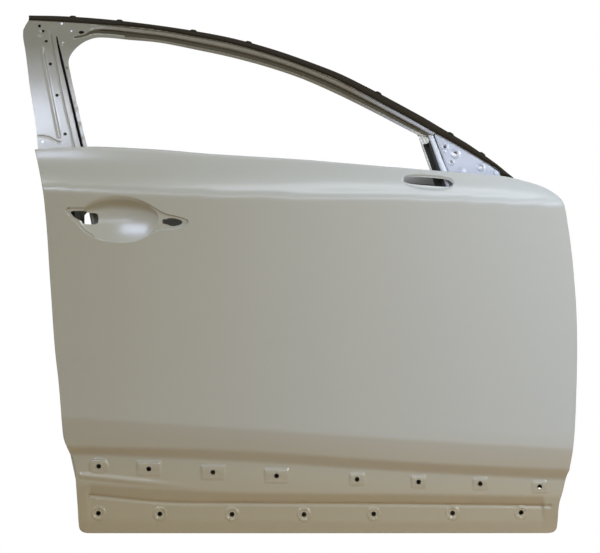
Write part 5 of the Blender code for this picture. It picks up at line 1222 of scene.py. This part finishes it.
# The retainer's section: shares of its width, and heights over the frame's face
RETAINER_PROFILE = ((0, 0.0002), (-0.01, 0.0022), (0.04, 0.0036), (0.14, 0.0045), (0.34, 0.0048),
                    (0.60, 0.0042), (0.82, 0.0031), (0.96, 0.0018), (1.0, 0.0002))
RETAINER_SEAT = 0.0008


def retainer():
    """The dark band along the roof edge, with a rolled top and a wedge over the mirror's corner."""
    under = evenly(flowing(side_points(RETAINER_UNDER_PX), 6), 0.003)
    share = np.linspace(0, 1, len(RETAINER_EDGE))
    own = np.linspace(0, 1, len(under))
    under = np.stack([np.interp(share, own, under[:, axis]) for axis in (0, 1)], 1)
    profile = np.array(RETAINER_PROFILE)
    rings = []
    for place, direction in zip(RETAINER_EDGE, under - RETAINER_EDGE):
        points = place + direction * profile[:, :1]
        rings.append(placed(points, frame_out(*points.T) + RETAINER_SEAT + profile[:, 1]))
    return tube("header_retainer_band", rings, retainer_black, 50)


SAIL = cut_corners(side_points(SAIL_PX), 1)
SAIL_MARK = side_points(((494, 172.2),))[0]
SAIL_RING_RISE = 0.0010
SAIL_SEAT_DROP = 0.0006
SAIL_DIMPLE_RISE = 0.0011
SAIL_MARK_RISE = 0.0012
SAIL_EDGE_DROP = 0.0012
SAIL_EDGE_WIDTH = 0.004
SAIL_SET_IN = 0.0002
# Each ring's middle, half width and seat, as shares of the radius that its row of the table gives
SAIL_RING_SHARE = 0.72
SAIL_RING_HALF_SHARE = 0.34
SAIL_SEAT_SHARE = 0.45
SAIL_MARK_HALF_X, SAIL_MARK_HALF_Z, SAIL_MARK_CORNER = 0.0016, 0.0052, 0.0012
SAIL_MARK_FLANK = 0.0010


def sail_out(x, z):
    """The mirror panel's face: rings round its holes, dimples, one upright mark and a rolled edge."""
    out = frame_out(x, z) - SAIL_SET_IN
    for *centre, _, ring in SAIL_HOLES_PX:
        away = away_from(centre, x, z)
        ring = ring * X_SCALE
        out += SAIL_RING_RISE * swell(away - ring * SAIL_RING_SHARE, ring * SAIL_RING_HALF_SHARE)
        out -= SAIL_SEAT_DROP * (away < ring * SAIL_SEAT_SHARE)
    for *centre, radius in SAIL_DIMPLES_PX:
        out += SAIL_DIMPLE_RISE * swell(away_from(centre, x, z), radius * X_SCALE)
    mark = rounded_box(x, z, SAIL_MARK, SAIL_MARK_HALF_X, SAIL_MARK_HALF_Z, SAIL_MARK_CORNER)
    out += SAIL_MARK_RISE * eased(mark / SAIL_MARK_FLANK)
    edge = inside_distance(SAIL, x, z)
    return out - SAIL_EDGE_DROP * eased((SAIL_EDGE_WIDTH - edge) / SAIL_EDGE_WIDTH)


def sail():
    """The mirror's corner panel with its screw holes."""
    holes = [disc((across_px(x), up_px(y)), r * X_SCALE) for x, y, r, _ in SAIL_HOLES_PX]
    outline = evenly(SAIL, 0.003, closed=True)
    free = inside(grid(*px_box(430, 506, 130, 196), 0.0017), outline, 0.001)
    return sheet("mirror_sail", outline, holes, beside_rings(free, holes, 0.0006), sail_out, FACE_GAUGE,
                 sail_reflection_paint)


WELD_SET_IN = 0.0022
WELD_WAVE = 0.0009
WELD_WAVES_UP = 34 / 0.075
WELD_WAVES_ACROSS = 900


def weld_waves_out(x, z):
    """A surface behind the frame's face, wavy from the welding."""
    waves = np.sin((z - up_px(171)) * WELD_WAVES_UP) * np.sin(x * WELD_WAVES_ACROSS)
    return frame_out(x, z) - WELD_SET_IN + WELD_WAVE * waves


def channel_face():
    """The light flange round the front glass channel's mouth, uneven where it was welded."""
    outline = evenly(side_points(CHANNEL_FACE_PX), 0.0015, closed=True)
    free = inside(grid(*px_box(412, 436, 131, 180), 0.0018), outline, 0.0009)
    return sheet("front_channel_flange", outline, [], free, weld_waves_out, STRIP_GAUGE, lip_paint)


BAR_GAUGE = 0.0012
# The bar's section: shares of its width, and heights over the frame's face
BAR_PROFILE = ((0, -0.0045), (0, 0.0008), (0.30, 0.0016), (0.60, 0.0010), (0.64, -0.0003), (0.97, -0.0007),
               (1, -0.0055))
BAR_CORNER = 0.0002


def division_bar():
    """The upright bar in front of the glass: a rounded light face with a shallow step on its right."""
    left = flowing(side_points(BAR_LEFT_PX), 8)
    right = flowing(side_points(BAR_RIGHT_PX), 8)
    sections = []
    for place, width in zip(left, right[:, 0] - left[:, 0]):
        line = np.array(BAR_PROFILE) * (width, 1)
        line[1, 0] = BAR_CORNER
        sections.append(strip_ring(rolled(line) + (0, frame_out(*place)), BAR_GAUGE))
    return swept("division_post", left, np.tile((1.0, 0.0), (len(left), 1)), sections, bar_reflection_paint)


CHANNEL_GAUGE = 0.0008
CHANNEL_DEPTH = 0.0166
CHANNEL_LIP = 0.007
CHANNEL_WIDTH = 0.0235
CHANNEL_TOP = 0.0072
FRONT_CHANNEL_WIDTH = 0.024
FRONT_CHANNEL_TOP = 0.0040
MOUTH_OVERLAP = 0.0015
SPLICE = 7 * SUBSTEPS
HEADER_CHANNEL_END = 19 * SUBSTEPS


def channel(name, mouth, inward, width, top, finish):
    """A U section for the glass, from its mouth's edge into its web, with rolled corners."""
    line = rolled(((0, -CHANNEL_DEPTH), (width, -CHANNEL_DEPTH), (width, -top),
                   (width - CHANNEL_LIP, -top)))
    sections = [strip_ring(on_frame(line, *way), CHANNEL_GAUGE) for way in zip(mouth, inward)]
    return swept(name, mouth, inward, sections, finish)


def channels():
    """The glass run channels: the rear one bends into the header's, the front one stands by itself."""
    rear = flowing(side_points(REAR_CHANNEL_PX[::-1]), 4)
    front = flowing(side_points(FRONT_CHANNEL_PX), 6)
    unit = -STATION_ACROSS / np.linalg.norm(STATION_ACROSS, axis=1, keepdims=True)
    mouths = STATION_WINDOW + unit * MOUTH_OVERLAP
    upper = slice(2, SPLICE, 2)
    roof = slice(SPLICE, HEADER_CHANNEL_END, 2)
    rear_way = np.concatenate([np.tile((-1.0, 0.0), (len(rear), 1)), unit[upper]])
    front_way = np.tile((1.0, 0.0), (len(front), 1))
    for name, mouth, way, width, top, finish, carried in (
            ("rear_glass_channel", np.concatenate([rear, mouths[upper]]), rear_way, CHANNEL_WIDTH,
             CHANNEL_TOP, channel_paint, "rear_run_channel"),
            ("header_glass_channel", mouths[roof], unit[roof], CHANNEL_WIDTH, CHANNEL_TOP, channel_paint,
             "header_run_channel"),
            # The front channel takes the primer darkened as painted shade
            ("front_glass_channel", front, front_way, FRONT_CHANNEL_WIDTH, FRONT_CHANNEL_TOP, channel_dark,
             "front_run_channel")):
        mount(channel(name, mouth, way, width, top, finish), "primed_steel", carried)


# The inner pressing's hat section: shares of the frame's width on the pillar and on the header, and depths
PILLAR_HAT_SHARES = np.array((0.02, 0.14, 0.20, 0.68, 0.73, 1.0))
HEADER_HAT_SHARES = np.array((0.02, 0.12, 0.16, 0.34, 0.40, 1.0))
HAT_REAR_FLANGE_IN = 0.0050
HAT_GLASS_FLANGE_IN = 0.0184
HAT_DEPTH_AT_BELT = 0.061
HAT_DEPTH_AT_ROOF = 0.038
HAT_TURN_STATIONS = (6, 4)


def frame_back():
    """The frame's inner pressing, a hat section with rolled corners."""
    ways, sections = [], []
    origins = STATION_OUTER[::2]
    for number, (origin, across) in enumerate(zip(origins, STATION_ACROSS[::2])):
        width = math.hypot(*across)
        turned = eased((2 * number / SUBSTEPS - HAT_TURN_STATIONS[0]) / HAT_TURN_STATIONS[1])
        rise = (origin[1] - BELT_HEIGHT) / FRAME_HEIGHT
        depth = HAT_DEPTH_AT_BELT + (HAT_DEPTH_AT_ROOF - HAT_DEPTH_AT_BELT) * rise
        runs = (PILLAR_HAT_SHARES + (HEADER_HAT_SHARES - PILLAR_HAT_SHARES) * turned) * width
        downs = np.repeat((HAT_REAR_FLANGE_IN, depth, HAT_GLASS_FLANGE_IN), 2)
        line = on_frame(rolled(np.stack([runs, -downs], 1)), origin, across / width)
        ways.append(across / width)
        sections.append(strip_ring(line, STRIP_GAUGE))
    return swept("frame_inner_pressing", origins, ways, sections, inner_paint)


BACKING_GAUGE = 0.0018
BACKING_INSET = 0.002
BACKING_EDGE_SHARE = 0.5
BACKING_HOLE_SHARE = 0.4


def backing(name, outline, holes, step):
    """A plate that follows the skin's back."""
    low, high = outline.min(0), outline.max(0)
    free = inside(grid(low[0], high[0], low[1], high[1], step), outline, step * BACKING_EDGE_SHARE)
    return sheet(name, outline, holes, beside_rings(free, holes, step * BACKING_HOLE_SHARE),
                 lambda x, z: skin_out(x, z) - BEHIND_SKIN, BACKING_GAUGE, cavity_steel)


BELT_STRIP_RISE = 0.0008
BELT_STRIP_DROP = 0.042
BELT_STRIP_FRONT_DROP = 0.006
BELT_STRIP_SHARES = np.array((0, 0.5, 0.85, 1))
BELT_STRIP_PX = (88, 468)
BELT_STRIP_FRONT_PX = 400
BELT_STRIP_POINTS = 150
BELT_STRIP_ROLL = (0.0003, 0.0012)


def belt_strip():
    """The outer belt reinforcement: its rolled upper edge shows over the skin, where the glass goes in."""
    rings = []
    for x in np.linspace(*across_px(BELT_STRIP_PX), BELT_STRIP_POINTS):
        belt = CREASE["belt"](x)
        high = belt + BELT_STRIP_RISE
        low = belt - (BELT_STRIP_FRONT_DROP if x > across_px(BELT_STRIP_FRONT_PX) else BELT_STRIP_DROP)
        heights = np.array((*(low + (belt - low) * BELT_STRIP_SHARES), high - BELT_STRIP_ROLL[0], high))
        outs = pressed_skin_out(np.full(len(heights), x), np.minimum(heights, belt)) - BEHIND_SKIN
        outs[-1] -= BELT_STRIP_ROLL[1]
        section = strip_ring(rolled(np.stack([heights, outs], 1), 1), STRIP_GAUGE)
        rings.append(placed(np.stack([np.full(len(section), x), section[:, 0]], 1), section[:, 1]))
    # The belt strip takes the bar's paint, with its painted bluish reflection
    return tube("belt_strip", rings, bar_reflection_paint)


FLANGE_REACH = 0.0065
FLANGE_EDGE = 0.014
FLANGE_ROUNDS = 4
FLANGE_GAP = 0.0002


def inner_pressing():
    """The inner panel with its flange drawn onto the skin's back, so that the hem holds it everywhere."""
    carried = NODES["inner_panel"]
    shape = bmesh.new()
    shape.from_mesh(carried.data)
    shape.transform(carried.matrix_world)
    bmesh.ops.triangulate(shape, faces=shape.faces)

    def flange():
        places = np.array([vertex.co for vertex in shape.verts]) + ORIGIN
        flat = sharp_skin_out(places[:, 0], places[:, 2])
        return [vertex for vertex, high in zip(shape.verts, -places[:, 1] > flat - FLANGE_REACH) if high]

    for _ in range(FLANGE_ROUNDS):
        held = set(flange())
        long_edges = [edge for edge in shape.edges
                      if held.issuperset(edge.verts) and edge.calc_length() > FLANGE_EDGE]
        if not long_edges:
            break
        bmesh.ops.subdivide_edges(shape, edges=long_edges, cuts=1)
        bmesh.ops.triangulate(shape, faces=shape.faces)
    held = flange()
    x, y, z = (np.array([vertex.co for vertex in held]) + ORIGIN).T
    back = -y < sharp_skin_out(x, z) - BEHIND_SKIN - INNER_GAUGE * 0.5
    fine = pressed_skin_out(x, z) - BEHIND_SKIN - FLANGE_GAP - np.where(back, INNER_GAUGE, 0)
    for vertex, out in zip(held, fine):
        vertex.co.y = -out - ORIGIN[1]
    return creased_piece("inner_pressing", bpy.data.meshes.new("inner_pressing"), shape, inner_paint, 32)


STUD_PROFILE = ((-0.0085, -0.0012), (-0.0072, 0.0004), (-0.0050, 0.0020), (-0.0030, 0.0026),
                (0.0030, 0.0026), (0.0050, 0.0020), (0.0072, 0.0004), (0.0085, -0.0012))
# Depths from the stud's face to its back, each with the share of the profile that is left there
STUD_DEPTHS = ((-0.0022, 0.55), (-0.0018, 0.9), (-0.0006, 1.0), (0.0010, 1.0), (0.0022, 0.9),
               (0.0026, 0.55))
STUD_SEAT = 0.0030


def rounded_stud():
    """One stud: a low trapezium with rounded corners, standing on the retainer's edge."""
    profile = np.array(STUD_PROFILE)
    rings = [np.stack([profile[:, 0] * (0.85 + 0.15 * share), np.full(len(profile), -depth),
                       profile[:, 1] * share], 1) for depth, share in STUD_DEPTHS]
    return tube("stud", rings, retainer_black, 60)


def studs_tree():
    """Geometry Nodes that stand the stud on each point, leaned as the point says."""
    tree = bpy.data.node_groups.new("studs_along_the_roof", "GeometryNodeTree")
    for name, kind in (("Geometry", "Geometry"), ("Stud", "Object"), ("Finish", "Material")):
        tree.interface.new_socket(name, in_out="INPUT", socket_type="NodeSocket" + kind)
    tree.interface.new_socket("Geometry", in_out="OUTPUT", socket_type="NodeSocketGeometry")
    start = node(tree, "NodeGroupInput")
    lean = node(tree, "GeometryNodeInputNamedAttribute", data_type="FLOAT_VECTOR")
    lean.inputs["Name"].default_value = "lean"
    stud = node(tree, "GeometryNodeObjectInfo", {"Object": start.outputs["Stud"]})
    on_points = node(tree, "GeometryNodeInstanceOnPoints", {
        "Points": start.outputs["Geometry"], "Instance": stud.outputs["Geometry"],
        "Rotation": lean.outputs["Attribute"]})
    real = node(tree, "GeometryNodeRealizeInstances", {"Geometry": on_points.outputs["Instances"]})
    done = node(tree, "GeometryNodeSetMaterial", {
        "Geometry": real.outputs["Geometry"], "Material": start.outputs["Finish"]})
    node(tree, "NodeGroupOutput", {"Geometry": done.outputs["Geometry"]})
    return tree


def studs():
    """The retainer's clips, one rounded stud carried to each of its places by Geometry Nodes."""
    places, leans = [], []
    for clip in CLIPS_PX:
        at = int(np.hypot(*(RETAINER_EDGE - side_points((clip,))[0]).T).argmin())
        near = RETAINER_EDGE[at:at + 1]
        run = RETAINER_EDGE[min(at + 3, len(RETAINER_EDGE) - 1)] - RETAINER_EDGE[max(at - 3, 0)]
        places.append(tuple(placed(near, frame_out(*near.T) + STUD_SEAT)[0]))
        leans.append((0, -math.atan2(run[1], run[0]), 0))
    spots = bpy.data.meshes.new("stud_places")
    spots.from_pydata(places, [], [])
    slopes = spots.attributes.new("lean", "FLOAT_VECTOR", "POINT")
    for slope, lean in zip(slopes.data, leans):
        slope.vector = lean
    piece = linked("weatherstrip_studs", spots)
    stud = rounded_stud()
    modifier = piece.modifiers.new("studs", "NODES")
    modifier.node_group = studs_tree()
    inputs = {item.name: item.identifier for item in modifier.node_group.interface.items_tree
              if item.in_out == "INPUT"}
    modifier[inputs["Stud"]] = stud
    modifier[inputs["Finish"]] = retainer_black
    seen = piece.evaluated_get(bpy.context.evaluated_depsgraph_get())
    made = bpy.data.meshes.new_from_object(seen)
    piece.modifiers.clear()
    piece.data = made
    piece.data.shade_smooth()
    bpy.data.objects.remove(stud, do_unlink=True)
    return piece


# The dressed pieces, each in place of the nodes it stands for
skin, skin_holes, skin_edge = outer_skin()
mount(skin, "pearl_body_paint", "outer_panel")
mount(skin_back(skin_holes, skin_edge), "primed_steel")
mount(frame_face(), "pearl_body_paint", "window_frame_outer")
mount(window_lip(), "pearl_body_paint")
mount(retainer(), "dark_trim", "header_retainer")
mount(studs(), "dark_trim", *[name for name in NODES if name.startswith("weatherstrip_clip")])
mount(sail(), "pearl_body_paint", "mirror_corner_panel")
mount(channel_face(), "pearl_body_paint")
mount(division_bar(), "pearl_body_paint", "division_bar")
channels()
mount(frame_back(), "primed_steel", "window_frame_inner")
bowl_edge = evenly(BOWL, 0.003, closed=True)
mount(backing("handle_backing", bowl_edge - ring_sides(bowl_edge)[0] * BACKING_INSET, HANDLE_HOLES, 0.0035),
      "primed_steel", "handle_reinforcement")
mount(backing("mirror_slot_backing", evenly(MIRROR_DIP, 0.003, closed=True), [MIRROR_SLOT], 0.003),
      "primed_steel", "mirror_slot_reinforcement")
mount(belt_strip(), "primed_steel", "belt_reinforcement_outer")
mount(inner_pressing(), "primed_steel", "inner_panel")

for name, carried in NODES.items():
    finish = cavity_steel
    if name.startswith("weld_nut"):
        finish = zinc
    elif name.startswith("flutter_pad"):
        finish = mastic
    elif name in ("mirror_mount_plate", "mirror_corner_inner"):
        finish = channel_paint
    for slot in carried.material_slots:
        slot.material = finish


# Floor, light and camera
WHITE = (1, 1, 1, 1)
FLOOR_DROP = 0.35
FLOOR_HALF = 4
SKY_STRENGTH = 0.41
# The sky's colours from below to above, at shares of the way from straight down to straight up
SKY = ((0.30, "b08a48"), (0.52, "9c9072"), (0.85, "ccd3de"))


def seen_white(tree):
    """1 for the rays that should meet a white studio: the camera's, and those from a gloss or a glass."""
    rays = node(tree, "ShaderNodeLightPath").outputs
    both = node(tree, "ShaderNodeMath", {0: rays["Is Camera Ray"], 1: rays["Is Glossy Ray"]},
                operation="MAXIMUM")
    return node(tree, "ShaderNodeMath", {0: both.outputs[0], 1: rays["Is Transmission Ray"]},
                operation="MAXIMUM").outputs[0]


def white_when_seen(tree, lit, glow, output):
    """Ends a tree in what lights the door, and in white for the rays that should meet white."""
    blend = node(tree, "ShaderNodeMixShader", {0: seen_white(tree), 1: lit.outputs[0], 2: glow.outputs[0]})
    tree.links.new(blend.outputs[0], tree.nodes[output].inputs["Surface"])


def floor_finish():
    """A warm floor that only lights the door from below and is white where it is seen."""
    finish = bpy.data.materials.new("studio_floor")
    finish.use_nodes = True
    tree = finish.node_tree
    shader = tree.nodes["Principled BSDF"]
    shader.inputs["Base Color"].default_value = (*to_linear("dcb470"), 1)
    shader.inputs["Roughness"].default_value = 0.9
    white_when_seen(tree, shader, node(tree, "ShaderNodeEmission", {"Color": WHITE, "Strength": 1.0}),
                    "Material Output")
    return finish


floor_height = cad_box[0][2] - FLOOR_DROP
corners = [(x * FLOOR_HALF, y * FLOOR_HALF, floor_height) for x, y in ((-1, -1), (1, -1), (1, 1), (-1, 1))]
mesh_piece("studio_floor", corners, [(0, 1, 2, 3)], floor_finish(), smooth=False)


def world_light():
    """A soft sky, warm below and cool above."""
    world = bpy.data.worlds.new("studio")
    world.use_nodes = True
    tree = world.node_tree
    sky = tree.nodes["Background"]
    place = node(tree, "ShaderNodeTexCoord").outputs["Generated"]
    height = node(tree, "ShaderNodeSeparateXYZ", {"Vector": place}).outputs["Z"]
    share = node(tree, "ShaderNodeMapRange", {"Value": height, "From Min": -1.0, "From Max": 1.0})
    ramp = node(tree, "ShaderNodeValToRGB", {"Fac": share.outputs["Result"]})
    stops = ramp.color_ramp.elements
    stops[0].position = SKY[0][0]
    stops[1].position = SKY[2][0]
    stops.new(SKY[1][0])
    for stop, (_, colour) in zip(stops, SKY):
        stop.color = (*to_linear(colour), 1)
    tree.links.new(ramp.outputs["Color"], sky.inputs["Color"])
    sky.inputs["Strength"].default_value = SKY_STRENGTH
    white_when_seen(tree, sky, node(tree, "ShaderNodeBackground", {"Color": WHITE, "Strength": 1.0}),
                    "World Output")
    bpy.context.scene.world = world


PICTURE_WIDTH_PX = 600
PICTURE_MIDDLE_PX = (300, 276.5)
CENTRE = Vector((frame_x((REAR_PX + FRONT_PX) / 2), -ORIGIN[1], frame_z(PICTURE_MIDDLE_PX[1])))
# Lamps: where each stands and points, from the door's middle, then its width, height, power and colour
LAMPS = (
    ("rear_window", (-1.3, -2.6, 1.7), (-0.4, 0, 0.2), 1.3, 0.6, 26, "d3dfff"),
    ("key_right", (1.2, -1.15, 0.8), (0.45, 0, 0), 0.8, 0.8, 19, "eaf1ff"),
    ("front_strip", (0.15, -3.2, 1.25), (0, 0, 0.15), 2.6, 0.14, 10, "dfe8ff"),
    ("back_fill", (0.3, 3.0, 1.2), (0, 0, 0), 2.0, 1.6, 40, "fff4e2"),
    ("top_strip", (-0.2, -1.0, 2.4), (0, 0, 0.3), 2.4, 0.4, 12, "eef3ff"),
)


def softbox(name, place, target, width, height, power, colour):
    """A rectangular lamp that points from its place at its target."""
    light = bpy.data.lights.new(name, "AREA")
    light.shape = "RECTANGLE"
    light.size = width
    light.size_y = height
    light.energy = power
    light.color = to_linear(colour)
    lamp = linked(name, light)
    place, target = CENTRE + Vector(place), CENTRE + Vector(target)
    lamp.location = place
    lamp.rotation_euler = (target - place).to_track_quat("-Z", "Y").to_euler()


world_light()
for lamp in LAMPS:
    softbox(*lamp)

# A far camera with a long lens, for which picture units are true in a plane this far behind the belt
CAMERA_DISTANCE = 25.0
FRAME_DEPTH = 0.04
SENSOR_MM = 36
camera_data = bpy.data.cameras.new("camera")
camera_data.sensor_fit = "HORIZONTAL"
camera_data.sensor_width = SENSOR_MM
camera_data.lens = SENSOR_MM * (CAMERA_DISTANCE + FRAME_DEPTH) / (PICTURE_WIDTH_PX * X_SCALE)
camera = linked("camera", camera_data)
camera.location = (frame_x(PICTURE_MIDDLE_PX[0]), -ORIGIN[1] - CAMERA_DISTANCE,
                   frame_z(PICTURE_MIDDLE_PX[1]))
camera.rotation_euler = (math.pi / 2, 0, 0)
bpy.context.scene.camera = camera
bpy.context.scene.view_settings.view_transform = "Standard"
